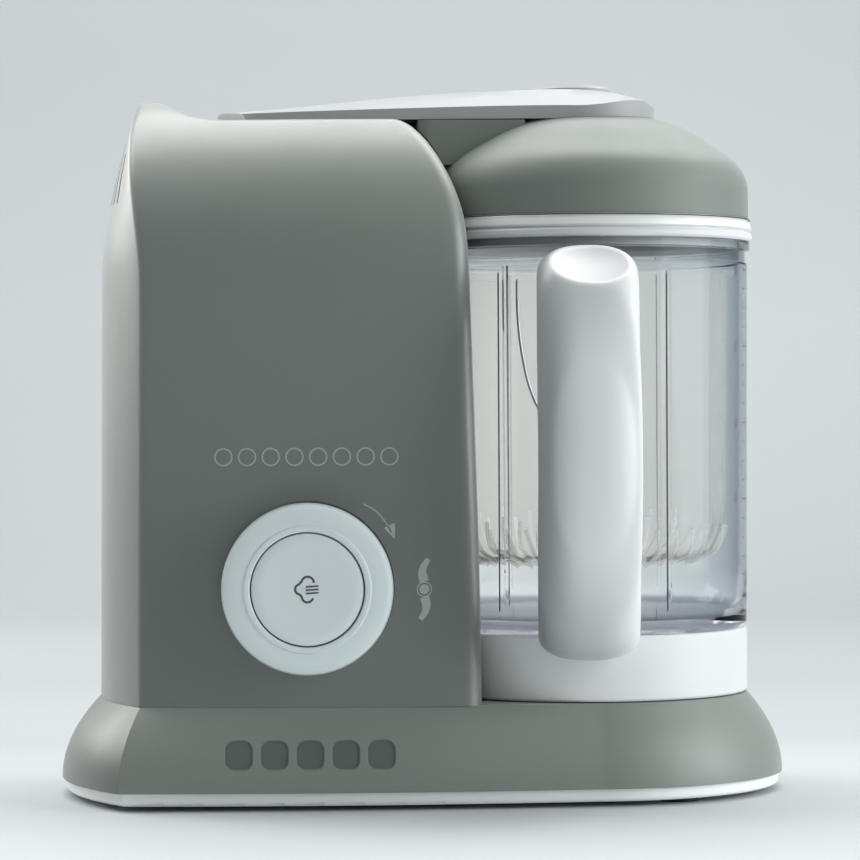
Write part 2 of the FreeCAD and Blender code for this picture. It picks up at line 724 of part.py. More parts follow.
low = S.jug_low_z
jug_blank = turned("jug_blank", [
    (9.0, low), (S.jug_radius_low - 3.0, low), (S.jug_radius_low, low + 2.2),
    (S.jug_radius_top - 0.1, S.jug_neck_z), (S.jug_neck_radius, S.jug_neck_z + 0.6),
    (S.jug_neck_radius, S.jug_rim_z - 0.4), (S.jug_rim_radius, S.jug_rim_z),
    (S.jug_rim_radius, S.jug_top_z - 0.6), (S.jug_rim_radius - 0.6, S.jug_top_z),
    (S.jug_radius_top - S.jug_wall, S.jug_top_z),
    (S.jug_radius_low - S.jug_wall, low + 12.0), (S.jug_radius_low - 6.5, low + S.jug_floor),
    (13.0, low + S.jug_floor), (13.0, low + 7.6), (9.0, low + 7.6)])
rib_pieces = [jug_blank]
for sign in (-1, 1):
    for offset in (-90.0, 90.0):
        rib = doc.addObject("Part::Box", "jug_rib" + str(len(rib_pieces)))
        rib.Length = 3.0
        rib.Width = 1.8
        bind(rib, "Height", S.jug_neck_z - S.jug_low_z - 11.6)
        angle = offset + sign * S.rib_angle.value
        spin = turn(Z_AXIS, angle)
        start = spin.multVec(Vector(S.jug_radius_low.value - S.jug_wall.value - 0.9, -0.9, 0))
        rib.Placement = FreeCAD.Placement(Vector(0, 0, 0), spin)
        place(rib, start.x, start.y, S.jug_low_z + 9.6)
        rib_pieces.append(rib)
clear_jug = join("clear_jug", rib_pieces)
clock_about_jug(clear_jug, S.jug_clock.value)

blade_bush = turned("blade_bush", [
    (S.shaft_radius + S.running_gap, 60.4), (7.0, 60.4), (7.0, 60.8), (9.0, 63.8),
    (9.0, 72.0), (S.shaft_radius + S.running_gap, 73.4)], S.jug_x)

jug_base_blank = turned("jug_base_blank", [
    (7.0, 60.8), (S.jug_base_radius - S.jug_base_wall, 60.8),
    (S.jug_base_radius - S.jug_base_wall, S.jug_base_low),
    (S.jug_base_radius - 0.6, S.jug_base_low), (S.jug_base_radius, S.jug_base_low + 0.8),
    (S.jug_base_radius, 63.2), (S.jug_base_radius - 0.4, 63.8), (9.0, 63.8)], S.jug_x)
base_lugs = [jug_base_blank]
for index in range(3):
    lug = doc.addObject("Part::Box", "jug_lug" + str(index))
    lug.Length = 10.0
    lug.Width = 12.0
    lug.Height = 2.4
    spin = turn(Z_AXIS, 120.0 * index + 20.0)
    start = spin.multVec(Vector(51.4, -6.0, 0))
    lug.Placement = FreeCAD.Placement(Vector(0, 0, 0), spin)
    place(lug, S.jug_x + start.x, start.y, S.base_top + 3.6)
    base_lugs.append(lug)
jug_base = join("jug_base", base_lugs)

# handle: one wide bow standing off the jug, closed at the top and at the bottom
BOW_OUTSIDE = [(54.0, 2.6), (43.0, 0.9), (32.5, 0.0), (21.5, 2.3), (11.5, 11.0),
               (4.5, 29.0), (0.5, 57.0), (0.0, 85.0), (2.0, 110.0), (6.5, 132.0), (12.5, 146.8),
               (21.5, 155.0), (32.5, 157.2), (43.5, 156.9), (54.0, 156.6)]
BOW_INSIDE = [(54.0, 135.0), (43.5, 134.5), (31.5, 133.5), (23.0, 128.0), (18.0, 109.0),
              (15.6, 85.0), (16.0, 57.0), (19.0, 38.0), (25.5, 26.0), (33.5, 20.0), (43.0, 18.6),
              (54.0, 18.2)]


def bow_line(points):
    start_x = -S.handle_width.value / 2.0
    front_y = -S.handle_front.value
    low_z = S.handle_low_z.value
    return [Vector(start_x, front_y + back, low_z + up) for back, up in points]


outside = bow_line(BOW_OUTSIDE)
inside = bow_line(BOW_INSIDE)
bow_face = Part.Face(Part.Wire([spline(outside), Part.makeLine(outside[-1], inside[0]),
                                spline(inside), Part.makeLine(inside[-1], outside[0])]))
bow_solid = bow_face.extrude(Vector(S.handle_width.value, 0, 0))


def is_bow_rim(edge):
    """The long curved edges on both cheeks of the bow."""
    around = edge.BoundBox
    return around.XLength < 0.01 and around.YLength > 15.0 and around.ZLength > 80.0


bow_solid = bow_solid.makeFillet(6.0, [e for e in bow_solid.Edges if is_bow_rim(e)])
# seen from the front the bow ends in wide round corners
front_bar = Part.makeBox(S.handle_width.value, 60.0, S.handle_high_z.value - S.handle_low_z.value,
                         Vector(-S.handle_width.value / 2.0, -S.handle_front.value - 1.0,
                                S.handle_low_z.value))


def is_bar_corner(edge):
    return near(edge.Length, 60.0, 0.01)


front_bar = front_bar.makeFillet(11.0, [e for e in front_bar.Edges if is_bar_corner(e)])
bow_solid = bow_solid.common(front_bar)
pivot = Vector(0, -S.handle_pivot.value, 0)
bow_solid.rotate(pivot, Z_AXIS, S.handle_twist.value)
bow = made("bow", bow_solid)
thumb_dish = doc.addObject("Part::Sphere", "thumb_dish")
thumb_dish.Radius = 45.0
place(thumb_dish, 3.4, -S.handle_front - 4.4, S.handle_high_z + 26.7)
handle_hug = doc.addObject("Part::Cone", "handle_hug")
bind(handle_hug, "Radius1", S.jug_base_radius + 0.05)
bind(handle_hug, "Radius2", S.jug_radius_top + 0.05)
bind(handle_hug, "Height", S.handle_high_z + 2.0 - 50.0)
place(handle_hug, 0.0, 0.0, 50.0)
jug_handle = cut("jug_handle", cut("bow_dished", bow, thumb_dish), handle_hug)
clock_about_jug(jug_handle, S.jug_clock.value)

# ------------------------------------------------------------ basket in the jug

basket_blank = turned("basket_blank", [
    (0.0, S.basket_low_z), (S.basket_radius - 14.0, S.basket_low_z),
    (S.basket_radius - 5.0, S.basket_low_z + 4.0), (S.basket_radius - 1.0, S.basket_low_z + 13.0),
    (S.basket_radius, S.basket_low_z + 24.0), (S.basket_radius + 1.0, S.basket_high_z - 3.0),
    (S.basket_radius + 3.6, S.basket_high_z - 3.0), (S.basket_radius + 3.6, S.basket_high_z),
    (S.basket_radius + 1.0 - S.basket_wall, S.basket_high_z),
    (S.basket_radius - S.basket_wall, S.basket_low_z + 24.0),
    (S.basket_radius - 1.0 - S.basket_wall, S.basket_low_z + 13.4),
    (S.basket_radius - 5.8, S.basket_low_z + 5.6),
    (S.basket_radius - 14.4, S.basket_low_z + S.basket_wall), (0.0, S.basket_low_z + S.basket_wall)])
steam_slots = []
SLOT_COUNT = 26
for index in range(SLOT_COUNT):
    slot = Part.makeBox(30.0, 2.6, 15.0, Vector(34.0, -1.3, 0.0))
    slot.rotate(Vector(0, 0, 0), Y_AXIS, -20.0)
    slot.rotate(Vector(0, 0, 0), Z_AXIS, 360.0 * index / SLOT_COUNT)
    slot.translate(Vector(0, 0, S.basket_low_z.value - 16.0))
    steam_slots.append(slot)
for ring_radius, hole_count in ((8.0, 6), (17.0, 12), (26.0, 18)):
    for index in range(hole_count):
        angle = 2.0 * math.pi * index / hole_count
        steam_slots.append(upright(1.7, 80.0, 95.0, ring_radius * math.cos(angle),
                                   ring_radius * math.sin(angle)))
doc.recompute()
steam_basket = made("steam_basket", basket_blank.Shape.cut(Part.makeCompound(steam_slots)),
                    Vector(jug_x, 0, 0))

BAIL_SHAPE = [(-51.5, 0.0), (-50.4, -20.0), (-45.5, -44.0), (-35.0, -62.0), (-18.0, -72.5),
              (0.0, -75.5), (18.0, -72.5), (35.0, -62.0), (45.5, -44.0), (50.4, -20.0),
              (51.5, 0.0)]
bail_path = Part.Wire(spline([Vector(x, 0, z) for x, z in BAIL_SHAPE]))
bail_round = Part.Wire(Part.makeCircle(0.9, Vector(BAIL_SHAPE[0][0], 0, 0), Z_AXIS))
bail_shape = bail_path.makePipeShell([bail_round], True, True)
bail_shape.rotate(Vector(0, 0, 0), Z_AXIS, 33.0)
basket_bail = made("basket_bail", bail_shape, Vector(jug_x, 0, S.basket_high_z.value - 4.0))

# ------------------------------------------------------------------------ dial

front = S.dial_front_y
dial_ring = lathe_y("dial_ring", [
    (S.dial_bore, -(front - 9.6)), (S.dial_bore, -(front - 0.5)), (S.dial_bore + 0.5, -front),
    (S.dial_bore + 2.0, -front), (S.dial_bore + 2.6, -(front - 0.5)),
    (S.dial_radius - 2.6, -(front - 0.5)), (S.dial_radius - 0.6, -(front - 1.4)),
    (S.dial_radius, -(front - 3.2)), (S.dial_radius, -S.dial_back_y - 0.2),
    (S.dial_radius - 2.2, -S.dial_back_y - 0.2), (S.dial_radius - 2.2, -(front - 5.0)),
    (S.dial_bore + 2.4, -(front - 5.0)), (S.dial_bore + 2.4, -(front - 9.6))],
    S.dial_x, S.dial_z)
dial_sleeve = lathe_y("dial_sleeve", [
    (13.0, -(front - 9.6)), (S.dial_bore + 2.4, -(front - 9.6)),
    (S.dial_bore + 2.4, -(front - 11.2)), (16.9, -(front - 11.2)),
    (16.9, -62.0), (13.0, -62.0)], S.dial_x, S.dial_z)
steam_button = lathe_y("steam_button", [
    (0.0, -(front - 0.7)), (S.button_radius - 1.4, -(front - 0.2)),
    (S.button_radius - 0.3, -(front - 0.7)), (S.button_radius, -(front - 1.6)),
    (S.button_radius, -(front - 6.6)), (S.button_radius - 1.6, -(front - 6.6)),
    (S.button_radius - 1.6, -(front - 2.6)), (4.5, -(front - 2.6)), (4.5, -60.5), (0.0, -60.5)],
    S.dial_x, S.dial_z)
guide_plate = lathe_y("guide_plate", [
    (4.5 + 0.05, -65.0), (12.6, -65.0), (12.6, -58.2), (30.0, -58.2), (30.0, -55.8),
    (4.5 + 0.05, -55.8)], S.dial_x, S.dial_z)
guide_parts = [guide_plate]
for index, side in enumerate((-1.0, 1.0)):
    guide_parts.append(rod("guide_post" + str(index), 2.6, 11.3, S.dial_x, -69.5,
                           S.dial_z + 26.5 * side))
button_guide = join("button_guide", guide_parts)
dial_spring = lathe_y("dial_spring", [
    (20.5, -60.2), (22.5, -60.2), (22.5, -58.2), (20.5, -58.2)], S.dial_x, S.dial_z)

# switches and electronics behind the dial
switch_one = box("switch_one", 20.0, 8.0, 10.0, S.dial_x - 24.0, -55.8, S.dial_z + 8.0)
switch_two = box("switch_two", 20.0, 8.0, 10.0, S.dial_x + 4.0, -55.8, S.dial_z + 8.0)
micro_switches = group("micro_switches", [switch_one, switch_two])
board_blank = box("board_blank", 74.0, 1.6, 40.0, -96.0, -58.0, 120.0)
board_parts = [board_blank]
BOARD_PARTS = [(-88.0, 8.0, 9.0, 10.0), (-72.0, 12.0, 7.0, 14.0), (-52.0, 6.0, 10.0, 6.0),
               (-38.0, 9.0, 5.0, 16.0)]
for index, (px, long_, deep, tall) in enumerate(BOARD_PARTS):
    board_parts.append(box("board_part" + str(index), long_, deep, tall, px, -56.4, 128.0))
for index, (px, depth) in enumerate(((-88.0, 7.9), (-30.0, 12.1))):
    for pz in (124.0, 156.0):
        board_parts.append(rod("board_post" + str(index) + str(int(pz)), 2.0, depth,
                               px, -58.0 - depth, pz))
circuit_board = join("circuit_board", board_parts)

# ---------------------------------------------------------------------- boiler

bx = S.boiler_x
by = S.boiler_y
neck_top = S.body_flat_top - S.shell_wall - 0.1
boiler_vessel = turned("boiler_vessel", [
    (0.0, S.boiler_low), (S.boiler_radius - 5.0, S.boiler_low),
    (S.boiler_radius, S.boiler_low + 5.0), (S.boiler_radius, S.boiler_high - 12.0),
    (S.boiler_neck - 0.6, S.boiler_high), (S.boiler_neck - 0.6, neck_top),
    (S.boiler_neck - 0.6 - S.boiler_wall, neck_top),
    (S.boiler_neck - 0.6 - S.boiler_wall, S.boiler_high - 1.2),
    (S.boiler_radius - S.boiler_wall, S.boiler_high - 13.0),
    (S.boiler_radius - S.boiler_wall, S.boiler_low + 5.6),
    (S.boiler_radius - 5.6, S.boiler_low + S.boiler_wall), (0.0, S.boiler_low + S.boiler_wall)],
    bx, by)
boiler_gasket = turned("boiler_gasket", [
    (S.boiler_neck - 0.6, S.body_flat_top - 8.0), (S.boiler_neck + 3.0, S.body_flat_top - 8.0),
    (S.boiler_neck + 3.0, S.body_flat_top - 2.6), (S.boiler_neck - 0.1, S.body_flat_top - 2.6),
    (S.boiler_neck - 0.1, S.body_flat_top - 0.2), (S.boiler_neck - 0.6, S.body_flat_top - 0.2)],
    bx, by)
element_coil = doc.addObject("Part::Torus", "element_coil")
element_coil.Radius1 = 24.0
element_coil.Radius2 = 4.0
place(element_coil, bx, by, S.boiler_low - 7.0)
element_plate = disc("element_plate", 33.0, S.boiler_low - 3.4, S.boiler_low, bx, by)
heating_element = join("heating_element", [element_plate, element_coil])
thermostat_body = disc("thermostat_body", 8.0, S.boiler_low - 14.0, S.boiler_low - 3.4, bx, by)
thermal_fuse = rod("thermal_fuse", 2.2, 16.0, S.boiler_x - 8.0, S.boiler_y - 12.2,
                   S.boiler_low - 5.7, X_AXIS)
thermostat = cut("thermostat", thermostat_body, box("thermostat_cut", 20.0, 3.0, 4.0,
                 S.boiler_x - 10.0, S.boiler_y - 1.5, S.boiler_low - 14.0))
bracket_ring = tube("bracket_ring", S.boiler_radius + 6.4, S.boiler_radius + 0.02,
                    190.0, 196.0, bx, by)
bracket_posts = [bracket_ring]
for index, (dx, dy) in enumerate(((-31.0, -33.0), (-31.0, 33.0), (33.0, 33.0), (33.0, -33.0))):
    bracket_posts.append(disc("bracket_post" + str(index), 3.0, 35.8, 196.0, bx + dx, by + dy))
boiler_bracket = cut("boiler_bracket", join("bracket_blank", bracket_posts),
                     disc("bracket_clear", S.boiler_radius + 0.02, 140.0, 200.0, bx, by))

# ----------------------------------------------------------------------- cord

cord_z = 22.0
cord_grommet_shape = rod("grommet_blank", 6.0, 12.0, -60.0, 73.0, cord_z)
grommet_bore = rod("grommet_bore", 3.2, 40.0, -60.0, 60.0, cord_z)
cord_grommet = cut("cord_grommet", cord_grommet_shape, grommet_bore)
power_cord = rod("power_cord", 3.2, 46.2, -60.0, 60.0, cord_z)
doc.recompute()
base_shell.Shape = base_shell.Shape.cut(Part.makeCylinder(6.0, 60.0, Vector(-60.0, 60.0, cord_z),
                                                          Y_AXIS))

# ------------------------------------------------------------------------- lid

lid_seal = turned("lid_seal", [
    (S.jug_radius_top - S.jug_wall - 1.6, S.seal_low - 3.0),
    (S.jug_radius_top - S.jug_wall - 0.8, S.seal_low - 3.0),
    (S.jug_radius_top - S.jug_wall - 0.8, S.seal_low), (S.seal_radius - 0.8, S.seal_low),
    (S.seal_radius, S.seal_low + 0.9), (S.seal_radius, S.seal_high - 0.9),
    (S.seal_radius - 0.8, S.seal_high), (S.jug_radius_top - S.jug_wall - 3.0, S.seal_high),
    (S.jug_radius_top - S.jug_wall - 3.0, S.seal_low - 1.0)], S.jug_x)
lid_ring = turned("lid_ring", [
    (S.jug_radius_top - 8.0, S.seal_high), (S.ring_radius - 1.4, S.seal_high),
    (S.ring_radius - 1.4, S.ring_low), (S.ring_radius, S.ring_low + 0.8),
    (S.ring_radius - 0.4, S.ring_high - 1.6), (S.ring_radius - 1.6, S.ring_high),
    (S.ring_radius - 1.6, S.dome_low), (S.jug_radius_top - 8.0, S.dome_low)], S.jug_x)

DOME_CURVE = [(65.0, 236.0), (64.3, 240.6), (60.9, 246.8), (55.6, 251.4), (50.4, 255.0),
              (42.2, 260.2), (31.0, 264.6), (20.0, 267.2), (9.0, 268.4), (0.0, 268.6)]


def dome_solid(inset, low_z):
    """Revolved cap with a short upright skirt."""
    radius = S.dome_radius.value
    lift = S.dome_top.value - DOME_CURVE[-1][1]
    spread = radius / DOME_CURVE[0][0]
    curve = spline([Vector(max(r * spread - inset, 0.0), 0, z + lift - inset)
                    for r, z in DOME_CURVE])
    start = Vector(radius - inset, 0, DOME_CURVE[0][1] + lift - inset)
    top_z = S.dome_top.value - inset
    skirt = Part.makeLine(Vector(radius - inset, 0, low_z), start)
    axis_line = Part.makeLine(Vector(0, 0, top_z), Vector(0, 0, low_z))
    floor_line = Part.makeLine(Vector(0, 0, low_z), Vector(radius - inset, 0, low_z))
    face = Part.Face(Part.Wire([skirt, curve, axis_line, floor_line]))
    solid = face.revolve(Vector(0, 0, 0), Z_AXIS, 360)
    solid.translate(Vector(jug_x, 0, 0))
    return solid


def inner_dome(inset, low_z):
    """Hollow of the cap: the same curve, drawn in without passing the axis."""
    radius = S.dome_radius.value
    points = [Vector(r * (radius - inset) / DOME_CURVE[0][0], 0, z - inset)
              for r, z in DOME_CURVE]
    curve = spline(points)
    skirt = Part.makeLine(Vector(radius - inset, 0, low_z), points[0])
    axis_line = Part.makeLine(points[-1], Vector(0, 0, low_z))
    floor_line = Part.makeLine(Vector(0, 0, low_z), Vector(radius - inset, 0, low_z))
    face = Part.Face(Part.Wire([skirt, curve, axis_line, floor_line]))
    solid = face.revolve(Vector(0, 0, 0), Z_AXIS, 360)
    solid.translate(Vector(jug_x, 0, 0))
    return solid


dome_outer = dome_solid(0.0, S.dome_low.value)
dome_inner = inner_dome(S.lid_wall.value, S.dome_low.value - 1.0)
neck_half = S.neck_half.value
neck_box = Part.makeBox(S.neck_right_x.value - S.neck_left_x.value, 2.0 * neck_half,
                        S.neck_top.value - 246.0, Vector(S.neck_left_x.value, -neck_half, 246.0))
neck_box = neck_box.makeFillet(5.0, [e for e in neck_box.Edges
                                     if near(e.BoundBox.Center.x, S.neck_left_x.value, 0.1)
                                     and e.BoundBox.ZLength > 5.0])
scoop_keep = upright(S.scoop_radius.value - 0.6, 200.0, 250.0, jug_x)
neck_box = neck_box.cut(body_solid(-1.2, body_low))
neck_low = neck_box.common(Part.makeBox(200.0, 200.0, 4.0, Vector(-100.0, -100.0, 246.0)))
neck_box = neck_box.cut(neck_low.cut(scoop_keep))
neck_hollow = Part.makeBox(S.neck_right_x.value - S.neck_left_x.value, 2.0 * neck_half - 5.0,
                           S.neck_top.value - 252.0,
                           Vector(S.neck_left_x.value + 2.5, -neck_half + 2.5, 252.0))
lid_dome_shape = dome_outer.fuse(neck_box.cut(neck_hollow).cut(dome_inner)).cut(dome_inner)
steam_port = upright(4.0, 240.0, 300.0, jug_x - 12.0)
lid_dome = made("lid_dome", lid_dome_shape.cut(steam_port).removeSplitter())

# white arm over the lid: flat underside, low side band, crowned top
ARM_SECTIONS = [
    # x, half width, band height, crown height above the underside, crown half width
    (-79.6, 21.0, 2.4, 2.9, 15.0), (-60.0, 22.6, 3.0, 4.8, 14.0), (-30.0, 25.2, 3.6, 7.8, 13.0),
    (0.0, 27.8, 4.0, 10.5, 13.0), (44.0, 31.0, 4.4, 12.3, 17.0), (66.0, 31.6, 4.8, 12.1, 18.0),
    (80.0, 31.6, 5.0, 10.0, 18.0), (93.4, 31.6, 4.4, 5.4, 18.0)]


def arm_solid(inset, low_z):
    wires = []
    for x, half, band, crown, crown_half in ARM_SECTIONS:
        floor_z = low_z
        band_z = S.arm_low.value + band - inset * 0.8
        crown_z = S.arm_low.value + crown - inset
        half = half - inset
        points = [Vector(x, -half, floor_z), Vector(x, -half, max(band_z, floor_z + 0.2)),
                  Vector(x, -crown_half + inset * 0.3, max(crown_z, floor_z + 0.4)),
                  Vector(x, crown_half - inset * 0.3, max(crown_z, floor_z + 0.4)),
                  Vector(x, half, max(band_z, floor_z + 0.2)), Vector(x, half, floor_z)]
        wires.append(Part.makePolygon(points + [points[0]]))
    return Part.makeLoft(wires, True, False)


def arm_plan(inset):
    """Plan of the arm: narrow rounded tail, wide round nose over the lock button."""
    nose_radius = S.arm_half.value
    nose_x = S.arm_right_x.value - nose_radius
    tail = S.arm_left_half.value - inset
    left = S.arm_left_x.value + inset
    nose = nose_radius - inset
    edges = [
        Part.makeLine(Vector(left + 8.0, -tail - 0.6, 200), Vector(nose_x, -nose, 200)),
        arc(Vector(nose_x, -nose, 200), Vector(nose_x + nose, 0, 200), Vector(nose_x, nose, 200)),
        Part.makeLine(Vector(nose_x, nose, 200), Vector(left + 8.0, tail + 0.6, 200)),
        arc(Vector(left + 8.0, tail + 0.6, 200), Vector(left + 2.2, tail - 2.6, 200),
            Vector(left, tail - 8.0, 200)),
        Part.makeLine(Vector(left, tail - 8.0, 200), Vector(left, -tail + 8.0, 200)),
        arc(Vector(left, -tail + 8.0, 200), Vector(left + 2.2, -tail + 2.6, 200),
            Vector(left + 8.0, -tail - 0.6, 200)),
    ]
    return Part.Face(Part.Wire(edges)).extrude(Vector(0, 0, 100))


arm_low = S.arm_low.value
arm_outer = arm_solid(0.0, arm_low).common(arm_plan(0.0))
arm_hollow = arm_solid(S.arm_wall.value, arm_low - 1.0).common(arm_plan(S.arm_wall.value))
arm_hollow = arm_hollow.cut(Part.makeBox(60.0, 80.0, 40.0, Vector(-104.0, -40.0, 250.0)))
arm_shape = arm_outer.cut(arm_hollow)
arm_shape = arm_shape.cut(dome_outer)
lock_x = S.lock_x.value
lock_bore = upright(S.lock_radius.value + 0.3, 270.0, 300.0, lock_x)
arm_shape = arm_shape.cut(lock_bore)
# knuckle under the tail, held by the hinge pin
barrel = Part.makeCylinder(S.hinge_barrel.value, 36.0, Vector(hinge_x, -18.0, S.hinge_z.value),
                           Y_AXIS)
web = Part.makeBox(5.0, 36.0, arm_low - S.hinge_z.value + 0.2,
                   Vector(hinge_x - 2.0, -18.0, S.hinge_z.value))
pin_bore = Part.makeCylinder(S.hinge_pin.value, 60.0, Vector(hinge_x, -30.0, S.hinge_z.value),
                             Y_AXIS)
arm_shape = arm_shape.multiFuse([barrel, web]).cut(pin_bore).removeSplitter()
arm_cover = made("arm_cover", arm_shape)

hinge_pin = rod("hinge_pin", S.hinge_pin, 50.4, S.hinge_x, -25.2, S.hinge_z)
cheek_front = box("cheek_front", 11.0, 3.0, 13.6, S.hinge_x - 5.4, -25.2, S.hinge_z - 7.4)
cheek_back = box("cheek_back", 11.0, 3.0, 13.6, S.hinge_x - 5.4, 22.2, S.hinge_z - 7.4)
cheek_floor = box("cheek_floor", 17.0, 51.6, 2.4, S.hinge_x - 9.7, -25.8, 251.5)
cheek_bore = rod("cheek_bore", S.hinge_pin + 0.05, 60.0, S.hinge_x, -30.0, S.hinge_z)
bracket_cheeks = join("bracket_cheeks", [cheek_front, cheek_back, cheek_floor])


def is_cheek_top(edge):
    around = edge.BoundBox
    across = near(around.XLength, 0.0, 0.01) and near(around.ZLength, 0.0, 0.01)
    return across and near(around.ZMax, S.hinge_z.value + 6.2, 0.01)


cheek_round = rounded("cheek_round", bracket_cheeks, 3.0, is_cheek_top)
hinge_bracket = cut("hinge_bracket", cheek_round, cheek_bore)

boiler_plug = turned("boiler_plug", [
    (0.0, S.body_flat_top - 7.0), (S.boiler_neck - 5.0, S.body_flat_top - 7.0),
    (S.boiler_neck - 4.0, S.body_flat_top - 5.6), (S.boiler_neck - 4.0, S.arm_low),
    (0.0, S.arm_low)], bx, by)
steam_nozzle = tube("steam_nozzle", 4.0, 2.4, 246.0, 266.6, S.jug_x - 12.0)
lock_spring = tube("lock_spring", 6.0, 4.6, 268.8, 271.4, S.lock_x)

lock_blank = turned("lock_blank", [
    (0.0, S.lock_top - 5.4), (S.lock_radius, S.lock_top - 5.4),
    (S.lock_radius, S.lock_top - 1.0), (S.lock_radius - 1.0, S.lock_top),
    (0.0, S.lock_top)], S.lock_x)
padlock_ring = tube("padlock_ring", 4.4, 2.8, S.lock_top - 0.6, S.lock_top + 0.6, S.lock_x)
padlock_block = box("padlock_block", 9.0, 11.0, 1.2, S.lock_x - 9.6, -5.5, S.lock_top - 0.6)
lock_button = join("lock_button", [lock_blank, padlock_ring, padlock_block])

# --------------------------------------------------------------- name and export

NODES = [
    base_shell, bottom_plate, rubber_feet, plate_screws, body_shell, chassis_plate, motor_can,
    motor_bearings, motor_magnets, motor_rotor, motor_pulley, cooling_fan, drive_belt,
    spindle_sleeve, spindle_bushes, spindle_shaft, spindle_pulley, drive_coupling, jug_seat,
    blade_hub, steel_blades, blade_coupling, clear_jug, blade_bush, jug_base, jug_handle,
    steam_basket, basket_bail, dial_ring, dial_sleeve, steam_button, button_guide, dial_spring,
    micro_switches, circuit_board, boiler_vessel, boiler_gasket, heating_element, thermostat,
    thermal_fuse, boiler_bracket, cord_grommet, power_cord, lid_seal, lid_ring, lid_dome,
    arm_cover, hinge_pin, hinge_bracket, boiler_plug, steam_nozzle, lock_spring, lock_button,
]

doc.recompute()
for thing in doc.Objects:
    if "Invalid" in thing.State or "Error" in thing.State:
        raise RuntimeError("not computed: " + thing.Name)

os.makedirs("parts", exist_ok=True)
for node in NODES:
    node.Label = node.Name
    if node.Shape.isNull() or not node.Shape.isValid():
        raise RuntimeError("bad shape: " + node.Name)
    node.Shape.exportStep("parts/" + node.Name + ".step")
    print(node.Name, len(node.Shape.Solids), round(node.Shape.Volume, 1))
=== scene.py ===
import math

import bmesh
import bpy
from mathutils import Matrix, Vector
from mathutils.bvhtree import BVHTree


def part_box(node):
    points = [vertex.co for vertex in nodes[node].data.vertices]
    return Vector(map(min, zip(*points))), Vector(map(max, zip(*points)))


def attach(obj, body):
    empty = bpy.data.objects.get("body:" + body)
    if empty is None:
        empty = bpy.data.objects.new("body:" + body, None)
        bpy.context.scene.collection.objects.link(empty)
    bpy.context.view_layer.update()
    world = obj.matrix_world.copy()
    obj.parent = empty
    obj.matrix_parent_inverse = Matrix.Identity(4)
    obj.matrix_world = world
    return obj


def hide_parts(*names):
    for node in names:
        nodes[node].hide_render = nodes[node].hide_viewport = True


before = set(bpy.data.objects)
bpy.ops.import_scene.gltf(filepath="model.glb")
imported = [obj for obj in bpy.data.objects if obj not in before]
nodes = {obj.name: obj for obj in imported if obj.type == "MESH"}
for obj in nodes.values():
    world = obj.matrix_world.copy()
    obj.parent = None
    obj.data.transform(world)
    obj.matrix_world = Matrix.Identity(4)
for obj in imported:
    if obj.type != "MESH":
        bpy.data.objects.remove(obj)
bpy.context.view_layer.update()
MM = 0.001

# The looks of the baby food maker: plastics, clear jug, steel and the printed marks.
# Lengths in the tables are millimetres; objects are in metres in the CAD's frame.


# ------------------------------------------------------------------- materials

CLEAR = (1.0, 1.0, 1.0)
SHADOW_TINT = (0.97, 0.975, 0.98)
MILK_TINT = (0.975, 0.968, 0.955)


def new_tree(name):
    """An empty material with one shader wired to its output."""
    material = bpy.data.materials.new(name)
    material.use_nodes = True
    tree = material.node_tree
    tree.nodes.clear()
    out = tree.nodes.new("ShaderNodeOutputMaterial")
    shader = tree.nodes.new("ShaderNodeBsdfPrincipled")
    tree.links.new(shader.outputs["BSDF"], out.inputs["Surface"])
    coords = tree.nodes.new("ShaderNodeTexCoord")
    return material, tree, shader, coords


def noise(tree, coords, scale, detail=2.0, roughness=0.5):
    """Noise laid over the object's own coordinates."""
    node = tree.nodes.new("ShaderNodeTexNoise")
    node.inputs["Scale"].default_value = scale
    node.inputs["Detail"].default_value = detail
    node.inputs["Roughness"].default_value = roughness
    tree.links.new(coords.outputs["Object"], node.inputs["Vector"])
    return node


def spread(tree, source, low, high):
    """Map a 0..1 noise, which mostly stays in 0.3..0.7, to low..high."""
    node = tree.nodes.new("ShaderNodeMapRange")
    node.inputs["From Min"].default_value = 0.3
    node.inputs["From Max"].default_value = 0.7
    node.inputs["To Min"].default_value = low
    node.inputs["To Max"].default_value = high
    tree.links.new(source, node.inputs["Value"])
    return node


def tinted(tree, coords, colour, variation, scale):
    """Base colour with a slow random change in lightness."""
    slow = noise(tree, coords, scale, 3.0)
    mix = tree.nodes.new("ShaderNodeMix")
    mix.data_type = "RGBA"
    darker = [max(0.0, c * (1.0 - variation)) for c in colour[:3]] + [1.0]
    lighter = [min(1.0, c * (1.0 + variation)) for c in colour[:3]] + [1.0]
    mix.inputs["A"].default_value = darker
    mix.inputs["B"].default_value = lighter
    tree.links.new(slow.outputs["Fac"], mix.inputs["Factor"])
    return mix


def grain(tree, coords, shader, scale, height_mm, soften_mm, wave):
    """Fine surface texture over a slow wave (scale, height in mm) and softened edges."""
    fine = noise(tree, coords, scale, 3.0, 0.6)
    bump = tree.nodes.new("ShaderNodeBump")
    bump.inputs["Strength"].default_value = 1.0
    bump.inputs["Distance"].default_value = height_mm * MM
    tree.links.new(fine.outputs["Fac"], bump.inputs["Height"])
    wave_scale, wave_mm = wave
    coarse = noise(tree, coords, wave_scale, 2.0)
    under = tree.nodes.new("ShaderNodeBump")
    under.inputs["Distance"].default_value = wave_mm * MM
    tree.links.new(coarse.outputs["Fac"], under.inputs["Height"])
    tree.links.new(under.outputs["Normal"], bump.inputs["Normal"])
    if soften_mm:
        edge = tree.nodes.new("ShaderNodeBevel")
        edge.samples = 4
        edge.inputs["Radius"].default_value = soften_mm * MM
        tree.links.new(edge.outputs["Normal"], under.inputs["Normal"])
    tree.links.new(bump.outputs["Normal"], shader.inputs["Normal"])


